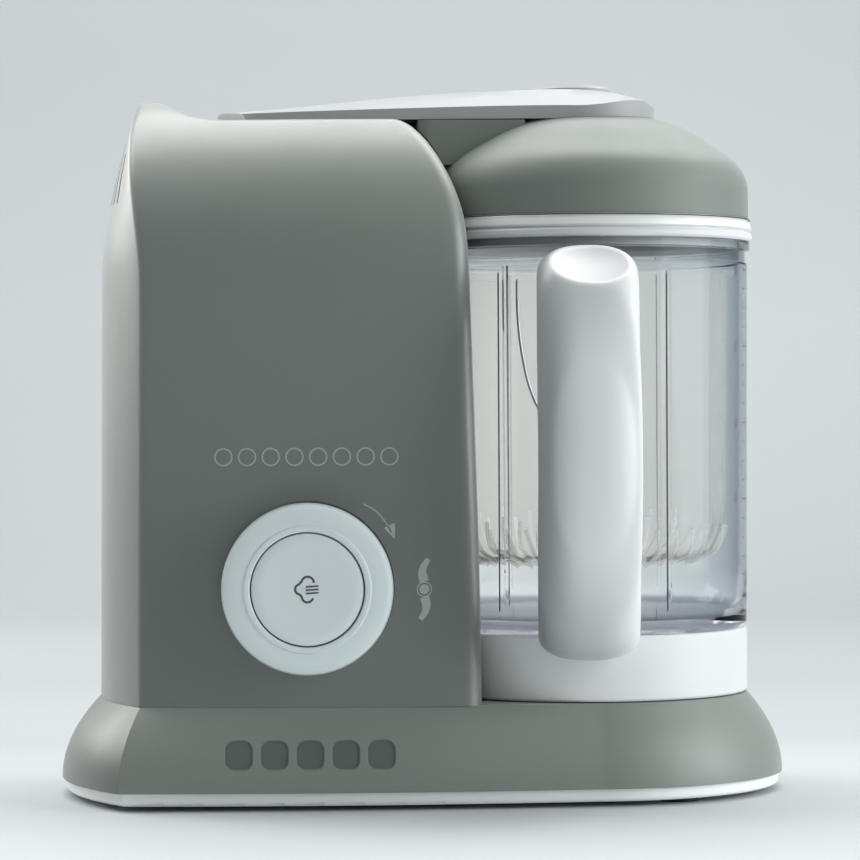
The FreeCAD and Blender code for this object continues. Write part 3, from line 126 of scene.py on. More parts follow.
def plastic(name, colour, rough=0.35, grain_scale=2600.0, grain_mm=0.012, variation=0.03,
            soften_mm=0.35, coat=0.0, specular=0.5, wave=(55.0, 0.05), subsurface=0.0,
            sheen=0.0, smear=0.1):
    """Moulded plastic: fine grain, a faint wave, and a slow change in gloss."""
    material, tree, shader, coords = new_tree(name)
    mix = tinted(tree, coords, colour, variation, 14.0)
    tree.links.new(mix.outputs["Result"], shader.inputs["Base Color"])
    patches = noise(tree, coords, 38.0, 4.0)
    amount = spread(tree, patches.outputs["Fac"], rough * (1.0 - smear), rough * (1.0 + smear))
    tree.links.new(amount.outputs["Result"], shader.inputs["Roughness"])
    shader.inputs["Specular IOR Level"].default_value = specular
    shader.inputs["Coat Weight"].default_value = coat
    shader.inputs["Coat Roughness"].default_value = 0.26
    shader.inputs["Sheen Weight"].default_value = sheen
    shader.inputs["Sheen Roughness"].default_value = 0.4
    if subsurface:
        shader.inputs["Subsurface Weight"].default_value = subsurface
        shader.inputs["Subsurface Radius"].default_value = (0.004, 0.004, 0.004)
        shader.inputs["Subsurface Scale"].default_value = 0.5
    grain(tree, coords, shader, grain_scale, grain_mm, soften_mm, wave)
    return material


def metal(name, colour, rough=0.28, stretch=(1.0, 1.0, 30.0), grain_mm=0.01):
    """Brushed metal: noise drawn out along one direction."""
    material, tree, shader, coords = new_tree(name)
    mapping = tree.nodes.new("ShaderNodeMapping")
    mapping.inputs["Scale"].default_value = stretch
    tree.links.new(coords.outputs["Object"], mapping.inputs["Vector"])
    lines = tree.nodes.new("ShaderNodeTexNoise")
    lines.inputs["Scale"].default_value = 160.0
    lines.inputs["Detail"].default_value = 4.0
    tree.links.new(mapping.outputs["Vector"], lines.inputs["Vector"])
    amount = spread(tree, lines.outputs["Fac"], rough * 0.7, rough * 1.4)
    tree.links.new(amount.outputs["Result"], shader.inputs["Roughness"])
    mix = tinted(tree, coords, colour, 0.06, 60.0)
    tree.links.new(mix.outputs["Result"], shader.inputs["Base Color"])
    shader.inputs["Metallic"].default_value = 1.0
    bump = tree.nodes.new("ShaderNodeBump")
    bump.inputs["Distance"].default_value = grain_mm * MM
    tree.links.new(lines.outputs["Fac"], bump.inputs["Height"])
    tree.links.new(bump.outputs["Normal"], shader.inputs["Normal"])
    return material


def along_axis(tree, source, axis):
    """One coordinate, in metres, of the surface's Position, or of its Normal."""
    place = tree.nodes.new("ShaderNodeNewGeometry")
    split = tree.nodes.new("ShaderNodeSeparateXYZ")
    tree.links.new(place.outputs[source], split.inputs["Vector"])
    return split.outputs[axis]


def colour_along(tree, value, stops, unit):
    """Colour looked up from (place, colour) stops, whose places are in the given unit."""
    low, high = stops[0][0], stops[-1][0]
    share = tree.nodes.new("ShaderNodeMapRange")
    share.inputs["From Min"].default_value = low * unit
    share.inputs["From Max"].default_value = high * unit
    tree.links.new(value, share.inputs["Value"])
    ramp = tree.nodes.new("ShaderNodeValToRGB")
    marks = ramp.color_ramp.elements
    while len(marks) < len(stops):
        marks.new(0.5)
    for mark, (place, colour) in zip(marks, stops):
        mark.position = (place - low) / (high - low)
        mark.color = (*colour, 1.0)
    tree.links.new(share.outputs["Result"], ramp.inputs["Fac"])
    return ramp.outputs["Color"]


def multiplied(tree, first, second):
    """Product of two colours."""
    product = tree.nodes.new("ShaderNodeMix")
    product.data_type = "RGBA"
    product.blend_type = "MULTIPLY"
    product.inputs["Factor"].default_value = 1.0
    tree.links.new(first, product.inputs["A"])
    tree.links.new(second, product.inputs["B"])
    return product.outputs["Result"]


def blended(tree, share, first, second):
    """Two colours mixed by a share from 0 to 1."""
    mix = tree.nodes.new("ShaderNodeMix")
    mix.data_type = "RGBA"
    mix.inputs["A"].default_value = (*first, 1.0)
    mix.inputs["B"].default_value = (*second, 1.0)
    tree.links.new(share, mix.inputs["Factor"])
    return mix.outputs["Result"]


def painted_light_ramp(material, source, axis, starts, ends, low, high):
    """Painted light and shade: multiply a base colour by a ramp along an axis, of the normal or
    of the place in metres.
    """
    tree = material.node_tree
    shader = [node for node in tree.nodes if node.type == "BSDF_PRINCIPLED"][0]
    under = shader.inputs["Base Color"].links[0].from_socket
    share = tree.nodes.new("ShaderNodeMapRange")
    share.interpolation_type = "SMOOTHSTEP"
    share.inputs["From Min"].default_value = starts
    share.inputs["From Max"].default_value = ends
    tree.links.new(along_axis(tree, source, axis), share.inputs["Value"])
    shade = blended(tree, share.outputs["Result"], low, high)
    tree.links.new(multiplied(tree, under, shade), shader.inputs["Base Color"])


def edge_on(tree, power):
    """Share that grows from 0, seen face on, to 1, seen edge on."""
    facing = tree.nodes.new("ShaderNodeLayerWeight")
    facing.inputs["Blend"].default_value = 0.5
    curve = tree.nodes.new("ShaderNodeMath")
    curve.operation = "POWER"
    curve.inputs[1].default_value = power
    tree.links.new(facing.outputs["Facing"], curve.inputs[0])
    return curve.outputs["Value"]


def rippled(tree, coords, shader, scale, height_mm):
    """Faint waves of a moulded clear wall."""
    ripple = noise(tree, coords, scale, 1.0)
    bump = tree.nodes.new("ShaderNodeBump")
    bump.inputs["Distance"].default_value = height_mm * MM
    tree.links.new(ripple.outputs["Fac"], bump.inputs["Height"])
    tree.links.new(bump.outputs["Normal"], shader.inputs["Normal"])


def clear(name, bands, edge_shade, rim_power, ior, bump_mm, bump_scale):
    """Clear moulded plastic: faint ripple, painted shade edge on, and light passes through it.
    """
    material, tree, shader, coords = new_tree(name)
    tint = colour_along(tree, along_axis(tree, "Position", "Z"), bands, MM)
    # Painted shade: the wall's colour darkens towards the edge shade where it is seen edge on.
    edge = blended(tree, edge_on(tree, rim_power), CLEAR, edge_shade)
    tree.links.new(multiplied(tree, tint, edge), shader.inputs["Base Color"])
    shader.inputs["Transmission Weight"].default_value = 1.0
    shader.inputs["IOR"].default_value = ior
    smear = noise(tree, coords, 30.0, 3.0)
    amount = spread(tree, smear.outputs["Fac"], 0.004, 0.02)
    tree.links.new(amount.outputs["Result"], shader.inputs["Roughness"])
    shader.inputs["Coat Weight"].default_value = 0.12
    shader.inputs["Coat Roughness"].default_value = 0.04
    rippled(tree, coords, shader, bump_scale, bump_mm)
    through = tree.nodes.new("ShaderNodeBsdfTransparent")
    through.inputs["Color"].default_value = (*SHADOW_TINT, 1.0)
    path = tree.nodes.new("ShaderNodeLightPath")
    blend = tree.nodes.new("ShaderNodeMixShader")
    tree.links.new(path.outputs["Is Shadow Ray"], blend.inputs["Fac"])
    tree.links.new(shader.outputs["BSDF"], blend.inputs[1])
    tree.links.new(through.outputs["BSDF"], blend.inputs[2])
    tree.links.new(blend.outputs["Shader"], tree.nodes["Material Output"].inputs["Surface"])
    return material


def milky(name, colour, share, rim_share, rough, bump_mm, bump_scale):
    """Translucent thin plastic: mostly see-through, with a milky share that grows edge on."""
    material, tree, shader, coords = new_tree(name)
    mix = tinted(tree, coords, colour, 0.02, 20.0)
    tree.links.new(mix.outputs["Result"], shader.inputs["Base Color"])
    smear = noise(tree, coords, 30.0, 3.0)
    amount = spread(tree, smear.outputs["Fac"], rough * 0.7, rough * 1.4)
    tree.links.new(amount.outputs["Result"], shader.inputs["Roughness"])
    rippled(tree, coords, shader, bump_scale, bump_mm)
    glow = tree.nodes.new("ShaderNodeBsdfTranslucent")
    glow.inputs["Color"].default_value = (*colour, 1.0)
    lit = tree.nodes.new("ShaderNodeMixShader")
    lit.inputs["Fac"].default_value = 0.5
    tree.links.new(shader.outputs["BSDF"], lit.inputs[1])
    tree.links.new(glow.outputs["BSDF"], lit.inputs[2])
    through = tree.nodes.new("ShaderNodeBsdfTransparent")
    through.inputs["Color"].default_value = (*MILK_TINT, 1.0)
    cover = tree.nodes.new("ShaderNodeMapRange")
    cover.inputs["To Min"].default_value = share
    cover.inputs["To Max"].default_value = rim_share
    tree.links.new(edge_on(tree, 2.5), cover.inputs["Value"])
    blend = tree.nodes.new("ShaderNodeMixShader")
    tree.links.new(cover.outputs["Result"], blend.inputs["Fac"])
    tree.links.new(through.outputs["BSDF"], blend.inputs[1])
    tree.links.new(lit.outputs["Shader"], blend.inputs[2])
    tree.links.new(blend.outputs["Shader"], tree.nodes["Material Output"].inputs["Surface"])
    return material


GREY = (0.168, 0.188, 0.170)
WHITE = (0.80, 0.81, 0.81)
# Painted light: the base's grey is lighter than the body's. Painted shade: it darkens on faces
# turned to the left.
base_grey_painted_light = plastic("base_grey_painted_light", (0.212, 0.238, 0.214), rough=0.48, grain_mm=0.008,
                    specular=0.7, coat=0.12, sheen=0.22)
painted_light_ramp(base_grey_painted_light, "Normal", "X", -0.75, -0.10, (0.52, 0.53, 0.52), (1.0, 1.0, 1.0))
gloss_white = plastic("gloss_white", (0.86, 0.87, 0.87), rough=0.26, grain_mm=0.003,
                      variation=0.006, coat=0.25, subsurface=0.08, wave=(40.0, 0.004),
                      smear=0.02)
dial_white = plastic("dial_white", (0.755, 0.825, 0.84), rough=0.28, grain_mm=0.003,
                     variation=0.004, coat=0.2, subsurface=0.06, wave=(40.0, 0.003), smear=0.01)
# Painted shade: the arm's white plastic at about half the lightness of the other whites, holding
# down the overhead lamp on its upper faces.
arm_white_painted_shade = plastic("arm_white_painted_shade", (0.42, 0.43, 0.43), rough=0.4, grain_mm=0.006, variation=0.015,
                    specular=0.3)
handle_white = plastic("handle_white", WHITE, rough=0.36, grain_mm=0.008, variation=0.01,
                       subsurface=0.05)
# Painted shade: the handle's white darkens on faces turned to the left, to under half on its
# left edge.
painted_light_ramp(handle_white, "Normal", "X", -0.85, 0.40, (0.40, 0.43, 0.43), (0.96, 0.96, 0.96))
body_grey = plastic("body_grey", GREY, rough=0.46, grain_mm=0.008, specular=0.9, coat=0.25,
                    sheen=0.35)
# Painted light and shade: the body's grey darkens towards its foot and lightens towards its top,
# between 60 and 200 mm up.
painted_light_ramp(body_grey, "Position", "Z", 0.06, 0.20, (0.83, 0.83, 0.83), (1.14, 1.14, 1.14))
base_white = plastic("base_white", WHITE, rough=0.36, grain_mm=0.008, variation=0.01,
                     subsurface=0.06)
# Painted light and shade: the jug base's white is lifted on its left, in the body's shade, and
# lowered towards its right, which faces the right lamp.
painted_light_ramp(base_white, "Position", "X", 0.02, 0.11, (1.16, 1.15, 1.14), (0.93, 0.93, 0.93))
# Painted light: a whiter copy of the white plastic lifts the bottom plate out of the shade under
# the base.
plate_white_painted_light = plastic("plate_white_painted_light", (0.93, 0.94, 0.94), rough=0.4, grain_mm=0.008)
# Painted light: the dome is the body's grey lightened by about a fifth, to lift its shaded lower
# band.
dome_grey_painted_light = plastic("dome_grey_painted_light", (0.205, 0.228, 0.207), rough=0.52, grain_mm=0.008,
                    specular=0.45, sheen=0.25)
satin_white = plastic("satin_white", WHITE, rough=0.36, grain_mm=0.008, variation=0.015,
                      subsurface=0.08)
dark_plastic = plastic("dark_plastic", (0.02, 0.021, 0.023), rough=0.45, grain_mm=0.03)
silicone = plastic("silicone", (0.72, 0.73, 0.74), rough=0.5, grain_mm=0.006, subsurface=0.2)
dark_rubber = plastic("dark_rubber", (0.012, 0.012, 0.013), rough=0.6, grain_scale=1500.0,
                      grain_mm=0.05)
board_green = plastic("board_green", (0.015, 0.09, 0.035), rough=0.3, grain_mm=0.01, coat=0.5)
sleeve_cream = plastic("sleeve_cream", (0.5, 0.45, 0.33), rough=0.7, grain_scale=1800.0,
                       grain_mm=0.06)
print_pale = plastic("print_pale", (0.40, 0.44, 0.41), rough=0.5, grain_mm=0.004, soften_mm=0.0)
print_grey = plastic("print_grey", (0.085, 0.09, 0.095), rough=0.5, grain_mm=0.004,
                     soften_mm=0.0)
# Painted shade for the floors of the marks recessed in the base.
mark_recess_shade = plastic("mark_recess_shade", (0.115, 0.13, 0.117), rough=0.5, grain_mm=0.008, soften_mm=0.0)
print_scale = plastic("print_scale", (0.20, 0.20, 0.23), rough=0.5, grain_mm=0.004,
                      soften_mm=0.0)
clear_wall = clear("clear_wall", [
    (60.0, (0.42, 0.43, 0.48)), (66.0, (0.56, 0.57, 0.62)), (69.5, (0.44, 0.45, 0.50)),
    (71.5, CLEAR), (206.0, CLEAR), (208.0, (0.78, 0.79, 0.82)), (210.5, (0.70, 0.71, 0.72)),
    (213.5, (0.62, 0.63, 0.64)), (216.5, (0.60, 0.61, 0.63))],
    (0.26, 0.29, 0.36), 2.3, 1.11, 0.012, 24.0)
# Painted shade: the jug's wall turns a little darker and bluer towards its right side.
painted_light_ramp(clear_wall, "Position", "X", 0.070, 0.120, (1.0, 1.0, 1.0), (0.89, 0.92, 0.93))
frosted_wall = milky("frosted_wall", (0.78, 0.78, 0.78), 0.045, 0.20, 0.3, 0.03, 60.0)
stainless = metal("stainless", (0.62, 0.63, 0.64))
motor_steel = metal("motor_steel", (0.38, 0.39, 0.41), rough=0.42, stretch=(6.0, 6.0, 6.0))
# Painted shade for the edges of the jug's clear ribs.
rib_edge_shade = plastic("rib_edge_shade", (0.06, 0.06, 0.085), rough=0.3, grain_mm=0.004, soften_mm=0.0)
rib_milk = milky("rib_milk", (0.86, 0.88, 0.88), 0.25, 0.40, 0.3, 0.01, 60.0)
wire_grey = metal("wire_grey", (0.50, 0.54, 0.60), rough=0.35)
bronze = metal("bronze", (0.50, 0.34, 0.17), rough=0.45, stretch=(8.0, 8.0, 8.0), grain_mm=0.03)
cast_alloy = metal("cast_alloy", (0.55, 0.56, 0.57), rough=0.5, stretch=(7.0, 7.0, 7.0),
                   grain_mm=0.05)

NODE_MATERIALS = {
    base_grey_painted_light: ["base_shell"],
    body_grey: ["body_shell"],
    dome_grey_painted_light: ["lid_dome"],
    gloss_white: ["lid_ring"],
    dial_white: ["dial_ring", "steam_button"],
    arm_white_painted_shade: ["arm_cover", "lock_button"],
    satin_white: ["jug_handle", "hinge_bracket"],
    plate_white_painted_light: ["bottom_plate"],
    base_white: ["jug_base"],
    clear_wall: ["clear_jug"],
    frosted_wall: ["steam_basket"],
    dark_plastic: ["chassis_plate", "dial_sleeve", "button_guide", "micro_switches",
                   "cooling_fan", "motor_pulley", "spindle_pulley", "blade_bush", "jug_seat",
                   "blade_hub", "drive_coupling", "blade_coupling", "spindle_sleeve"],
    silicone: ["lid_seal", "boiler_gasket", "boiler_plug", "steam_nozzle"],
    dark_rubber: ["rubber_feet", "drive_belt", "cord_grommet", "power_cord"],
    stainless: ["boiler_vessel", "steel_blades", "basket_bail", "hinge_pin",
                "spindle_shaft", "boiler_bracket", "plate_screws", "lock_spring",
                "dial_spring"],
    motor_steel: ["motor_can", "motor_rotor", "motor_magnets"],
    bronze: ["motor_bearings", "spindle_bushes"],
    cast_alloy: ["heating_element", "thermostat"],
    board_green: ["circuit_board"],
    sleeve_cream: ["thermal_fuse"],
}


for material, names in NODE_MATERIALS.items():
    for name in names:
        nodes[name].data.materials.clear()
        nodes[name].data.materials.append(material)


def smoothing_group():
    """Joins the loose faces of a CAD mesh and keeps only its real corners sharp."""
    group = bpy.data.node_groups.new("smooth_corners", "GeometryNodeTree")
    group.interface.new_socket("Geometry", in_out="INPUT", socket_type="NodeSocketGeometry")
    group.interface.new_socket("Geometry", in_out="OUTPUT", socket_type="NodeSocketGeometry")
    start = group.nodes.new("NodeGroupInput")
    end = group.nodes.new("NodeGroupOutput")
    merge = group.nodes.new("GeometryNodeMergeByDistance")
    merge.inputs["Distance"].default_value = 0.004 * MM
    faces = group.nodes.new("GeometryNodeSetShadeSmooth")
    faces.domain = "FACE"
    faces.inputs["Shade Smooth"].default_value = True
    angle = group.nodes.new("GeometryNodeInputMeshEdgeAngle")
    under = group.nodes.new("FunctionNodeCompare")
    under.data_type = "FLOAT"
    under.operation = "LESS_THAN"
    under.inputs["B"].default_value = math.radians(28.0)
    edges = group.nodes.new("GeometryNodeSetShadeSmooth")
    edges.domain = "EDGE"
    group.links.new(start.outputs["Geometry"], merge.inputs["Geometry"])
    group.links.new(merge.outputs["Geometry"], faces.inputs["Geometry"])
    group.links.new(angle.outputs["Unsigned Angle"], under.inputs["A"])
    group.links.new(under.outputs["Result"], edges.inputs["Shade Smooth"])
    group.links.new(faces.outputs["Geometry"], edges.inputs["Geometry"])
    group.links.new(edges.outputs["Geometry"], end.inputs["Geometry"])
    return group


smooth_corners = smoothing_group()
for node in nodes.values():
    for polygon in node.data.polygons:
        polygon.use_smooth = True
    node.modifiers.new("smooth_corners", "NODES").node_group = smooth_corners


# ------------------------------------------------------------- printed markings

def surface_of(name):
    """Tree of a CAD node's faces, to cast rays at."""
    mesh = nodes[name].data
    return BVHTree.FromPolygons([v.co.copy() for v in mesh.vertices],
                                [list(p.vertices) for p in mesh.polygons])


def ribbon(points, widths):
    """Both edges of a ribbon along a polyline, in the plane."""
    left, right = [], []
    count = len(points)
    for index, point in enumerate(points):
        before = points[max(index - 1, 0)]
        after = points[min(index + 1, count - 1)]
        along = Vector((after[0] - before[0], after[1] - before[1]))
        along.normalize()
        across = Vector((-along.y, along.x)) * (widths[index] / 2.0)
        here = Vector((point[0], point[1]))
        left.append(here + across)
        right.append(here - across)
    return left, right


class Stamp:
    """Collects flat shapes and lays them on a surface as a thin raised film."""

    def __init__(self, name, land, lift=0.02, thick=0.05):
        self.name = name
        self.land = land
        self.lift = lift
        self.thick = thick
        self.mesh = bmesh.new()

    def strip(self, left, right, closed=False):
        """Closed film between two edges given in the plane."""
        rows = []
        for a, b in zip(left, right):
            row = []
            for corner in (a, b):
                point, normal = self.land(corner)
                low = self.mesh.verts.new(point + normal * self.lift * MM)
                high = self.mesh.verts.new(point + normal * (self.lift + self.thick) * MM)
                row.append((low, high))
            rows.append(row)
        pairs = list(zip(rows, rows[1:] + rows[:1])) if closed else list(zip(rows, rows[1:]))
        for (a, b), (c, d) in pairs:
            self.mesh.faces.new((a[1], b[1], d[1], c[1]))
            self.mesh.faces.new((a[0], c[0], d[0], b[0]))
            self.mesh.faces.new((a[0], a[1], c[1], c[0]))
            self.mesh.faces.new((b[0], d[0], d[1], b[1]))
        if not closed:
            for row in (rows[0], rows[-1]):
                self.mesh.faces.new((row[0][0], row[1][0], row[1][1], row[0][1]))

    def line(self, points, width):
        """Line through the points; width is one number, or one for each point."""
        widths = width if isinstance(width, list) else [width] * len(points)
        left, right = ribbon(points, widths)
        self.strip(left, right)

    def disc(self, x, y, radius, inner=0.0, steps=28):
        """Disc, or a ring when inner is given."""
        left, right = [], []
        for index in range(steps):
            angle = 2.0 * math.pi * index / steps
            direction = Vector((math.cos(angle), math.sin(angle)))
            left.append(Vector((x, y)) + direction * radius)
            right.append(Vector((x, y)) + direction * max(inner, radius * 0.02))
        self.strip(left, right, True)

    def place(self, material, body):
        """Make the collected film a piece that rides on a body."""
        bmesh.ops.recalc_face_normals(self.mesh, faces=self.mesh.faces)
        data = bpy.data.meshes.new(self.name)
        self.mesh.to_mesh(data)
        self.mesh.free()
        piece = bpy.data.objects.new(self.name, data)
        bpy.context.scene.collection.objects.link(piece)
        data.materials.append(material)
        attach(piece, body)


def front_of(tree):
    """Lay a point given as x, z (mm) onto a surface seen from the front."""
    def land(corner):
        start = Vector((corner.x * MM, -0.3, corner.y * MM))
        point, normal, _, _ = tree.ray_cast(start, Vector((0, 1, 0)))
        if normal.y > 0:
            normal = -normal
        return point, normal
    return land


def around_jug(tree):
    """Lay a point given as arc length, z (mm) onto the jug's outside."""
    def land(corner):
        angle = corner.x / SCALE_RADIUS
        direction = Vector((math.cos(angle), math.sin(angle), 0))
        start = Vector((JUG_X, 0, corner.y * MM)) + direction * 0.12
        point, normal, _, _ = tree.ray_cast(start, -direction)
        return point, direction
    return land


def arc_points(cx, cy, radius, start, end, steps):
    """Points on an arc from one angle to another, in degrees."""
    points = []
    for index in range(steps + 1):
        angle = math.radians(start + (end - start) * index / steps)
        points.append((cx + radius * math.cos(angle), cy + radius * math.sin(angle)))
    return points


def smooth_line(points, per_span=8):
    """Catmull-Rom curve through the points."""
    ring = [points[0]] + list(points) + [points[-1]]
    out = []
    for index in range(1, len(ring) - 2):
        p0, p1, p2, p3 = (Vector(p) for p in ring[index - 1:index + 3])
        for step in range(per_span):
            t = step / per_span
            out.append(tuple(0.5 * ((2 * p1) + (p2 - p0) * t
                                    + (2 * p0 - 5 * p1 + 4 * p2 - p3) * t * t
                                    + (3 * p1 - p0 - 3 * p2 + p3) * t ** 3)))
    out.append(tuple(points[-1]))
    return out


button_low, button_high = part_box("steam_button")
DIAL_X = (button_low.x + button_high.x) / 2.0 / MM
DIAL_Z = (button_low.z + button_high.z) / 2.0 / MM
jug_low, jug_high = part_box("clear_jug")
JUG_X = (jug_low.x + jug_high.x) / 2.0


def turn_arrow(land):
    """Thin arc swinging clockwise down to a small filled head."""
    arrow = Stamp("turn_arrow", land)
    arc = smooth_line([(-24.6, 115.2), (-20.2, 112.6), (-16.6, 108.6), (-14.2, 104.4)])
    arrow.line(arc, 0.55)
    head = [(-15.0, 107.0), (-14.2, 105.2), (-13.4, 103.2), (-13.0, 102.0)]
    arrow.line(head, [4.6, 3.2, 1.2, 0.2])
    arrow.place(print_pale, "housing")


def blade_pictogram(land):
    """Two curved blades either side of a ringed hub."""
    hub_x, hub_z = -1.8, 82.8
    blades = Stamp("blade_pictogram", land)
    for side in (1.0, -1.0):
        half = [(0.0, 2.9), (-0.7, 5.6), (-0.3, 8.4), (1.6, 11.4)]
        spine = smooth_line([(hub_x + side * x, hub_z + side * z) for x, z in half])
        last = len(spine) - 1.0
        blades.line(spine, [3.6 - 1.9 * (index / last) ** 1.5 for index in range(len(spine))])
    blades.disc(hub_x, hub_z, 1.9)
    blades.disc(hub_x, hub_z, 2.9, 2.5)
    blades.place(print_pale, "housing")


def ring_row(land):
    """Plain row of eight small rings above the dial."""
    first_x, pitch, height = DIAL_X - 31.4, 8.95, DIAL_Z + 49.6
    rings = Stamp("ring_row", land)
    for index in range(8):
        rings.disc(first_x + pitch * index, height, 3.5, 2.9)
    rings.place(print_pale, "housing")


def mark_floor(land):
    """Painted shade on the floor of the five rounded marks pressed into the base."""
    first_x, middle_z, pitch = -72.1, 21.1, 13.4
    width, height, corner = 9.8, 10.2, 3.2
    steps = 20
    floor = Stamp("mark_floor", land)
    for index in range(5):
        column, widths = [], []
        for step in range(steps + 1):
            up = height * (step / steps - 0.5)
            into_corner = max(abs(up) - (height / 2.0 - corner), 0.0)
            cut_back = corner - math.sqrt(max(corner ** 2 - into_corner ** 2, 0.0))
            column.append((first_x + pitch * index, middle_z + up))
            widths.append(width - 2.0 * cut_back)
        floor.line(column, widths)
    floor.place(mark_recess_shade, "housing")


def steam_icon(land):
    """Cloud outline with three puffs beside it."""
    icon = Stamp("steam_icon", land)
    cloud = []
    for cx, cz, radius, start, end in ((0.1, 2.6, 2.3, 0, 165), (-2.7, 0.2, 1.9, 105, 262),
                                       (0.0, -2.6, 2.1, 180, 345)):
        cloud += arc_points(DIAL_X + cx, DIAL_Z + cz, radius, start, end, 14)
    icon.line(cloud, 0.85)
    for row in range(3):
        puff = [(DIAL_X - 0.6 + 0.95 * step, DIAL_Z - 1.4 + 1.25 * row + 0.06 * step)
                for step in range(6)]
        icon.line(smooth_line(puff), 0.62)
    icon.place(print_grey, "steam_button")


# strokes of each figure in a box 1 wide and 2 high
DIGITS = {
    "0": [[(0, 0), (1, 0), (1, 2), (0, 2), (0, 0)]],
    "1": [[(0.2, 1.5), (0.6, 2), (0.6, 0)]],
    "2": [[(0, 1.6), (0.5, 2), (1, 1.5), (0, 0), (1, 0)]],
    "3": [[(0, 2), (1, 2), (0.4, 1.2), (1, 0.7), (0.6, 0), (0, 0.1)]],
    "4": [[(0.8, 0), (0.8, 2), (0, 0.6), (1.1, 0.6)]],
}
SCALE_RADIUS = 64.0
SCALE_START = math.radians(-8.0) * SCALE_RADIUS
SCALE_ZERO = 84.0
SCALE_STEP = 7.6


def jug_scale(land):
    """Ticks up the jug's right side, every fourth one long and numbered."""
    scale = Stamp("jug_scale", land, 0.02, 0.06)
    figure = 1.7
    for index in range(17):
        z = SCALE_ZERO + SCALE_STEP * index
        long_tick = index % 4 == 0
        length = 7.0 if long_tick else 4.0
        scale.line([(SCALE_START + share * length, z) for share in (0.0, 0.5, 1.0)], 0.5)
        if long_tick and index:
            start = SCALE_START + 9.0
            for letter in str(index // 4) + "00":
                for stroke in DIGITS[letter]:
                    scale.line([(start + figure * x, z + figure * (y - 1.0)) for x, y in stroke],
                               0.42)
                start += 3.0
    scale.place(print_scale, "jug")


body_front = front_of(surface_of("body_shell"))
turn_arrow(body_front)
blade_pictogram(body_front)
ring_row(body_front)
mark_floor(front_of(surface_of("base_shell")))
steam_icon(front_of(surface_of("steam_button")))
jug_scale(around_jug(surface_of("clear_jug")))


# ------------------------------------------------------------------ jug handle

# the bow: each row of points gives back from its front, and up from its low end
HANDLE_WIDTH = 38.4
HANDLE_FRONT = 105.5
HANDLE_LOW = 55.4
HANDLE_HIGH = 213.4
HANDLE_PIVOT = 95.0
HANDLE_TWIST = math.radians(13.0)
JUG_CLOCK = math.radians(-4.0)
BOW_OUTSIDE = [(54.0, 2.6), (43.0, 0.9), (32.5, 0.0), (21.5, 2.3), (11.5, 11.0), (4.5, 29.0),
               (0.5, 57.0), (0.0, 85.0), (2.0, 110.0), (6.5, 132.0), (12.5, 146.8),
               (21.5, 155.0), (32.5, 157.2), (43.5, 156.9), (54.0, 156.6)]
BOW_INSIDE = [(54.0, 18.2), (43.0, 18.6), (33.5, 20.0), (25.5, 26.0), (19.0, 38.0),
              (16.0, 57.0), (15.6, 85.0), (18.0, 109.0), (23.0, 128.0), (31.5, 133.5),
              (43.5, 134.5), (54.0, 135.0)]
DISH_CENTRE = Vector((3.4, -109.9, 240.1))
DISH_RADIUS = 45.0


def even_points(points, count):
    """The smooth curve through the points, cut into equal lengths."""
    line = [Vector(p) for p in smooth_line(points, 12)]
    lengths = [0.0]
    for before, after in zip(line, line[1:]):
        lengths.append(lengths[-1] + (after - before).length)
    out = []
    span = 0
    for index in range(count):
        wanted = lengths[-1] * index / (count - 1.0)
        while span < len(line) - 2 and lengths[span + 1] < wanted:
            span += 1
        share = (wanted - lengths[span]) / max(lengths[span + 1] - lengths[span], 1e-9)
        out.append(line[span].lerp(line[span + 1], share))
    return out


def jug_side(z):
    """Radius of the jug's outside at a height, where the handle meets it."""
    low_z, low_radius = 50.0, 63.75
    share = (z - low_z) / (HANDLE_HIGH + 2.0 - low_z)
    return low_radius + share * 0.8


def handle_point(x, back, up):
    """From the bow's own plane to the frame: dish, twist, jug wall, then clocking."""
    point = Vector((x, -HANDLE_FRONT + back, HANDLE_LOW + up))
    ahead = max(-HANDLE_PIVOT - point.y, 0.0)
    lean = math.tan(HANDLE_TWIST)
    point.y += x * lean * min(ahead / 8.0, 1.0) ** 1.5
    point.x += ahead * lean
    out = point - DISH_CENTRE
    if out.length < DISH_RADIUS:
        point = DISH_CENTRE + out * (DISH_RADIUS / out.length)
    radius = math.hypot(point.x, point.y)
    wall = jug_side(point.z)
    if radius < wall:
        point.y = -math.sqrt(wall * wall - point.x * point.x)
    cos_clock, sin_clock = math.cos(JUG_CLOCK), math.sin(JUG_CLOCK)
    return Vector((JUG_X / MM + point.x * cos_clock - point.y * sin_clock,
                   point.x * sin_clock + point.y * cos_clock, point.z)) * MM


def soft_bar(angle, half_width, half_depth):
    """Cross-section of the bow: a crowned outer face and a flatter inner face."""
    across, depth = math.cos(angle), math.sin(angle)
    power = 0.92 if depth > 0.0 else 0.6
    x = half_width * math.copysign(abs(across) ** 0.78, across)
    return x, half_depth * math.copysign(abs(depth) ** power, depth)


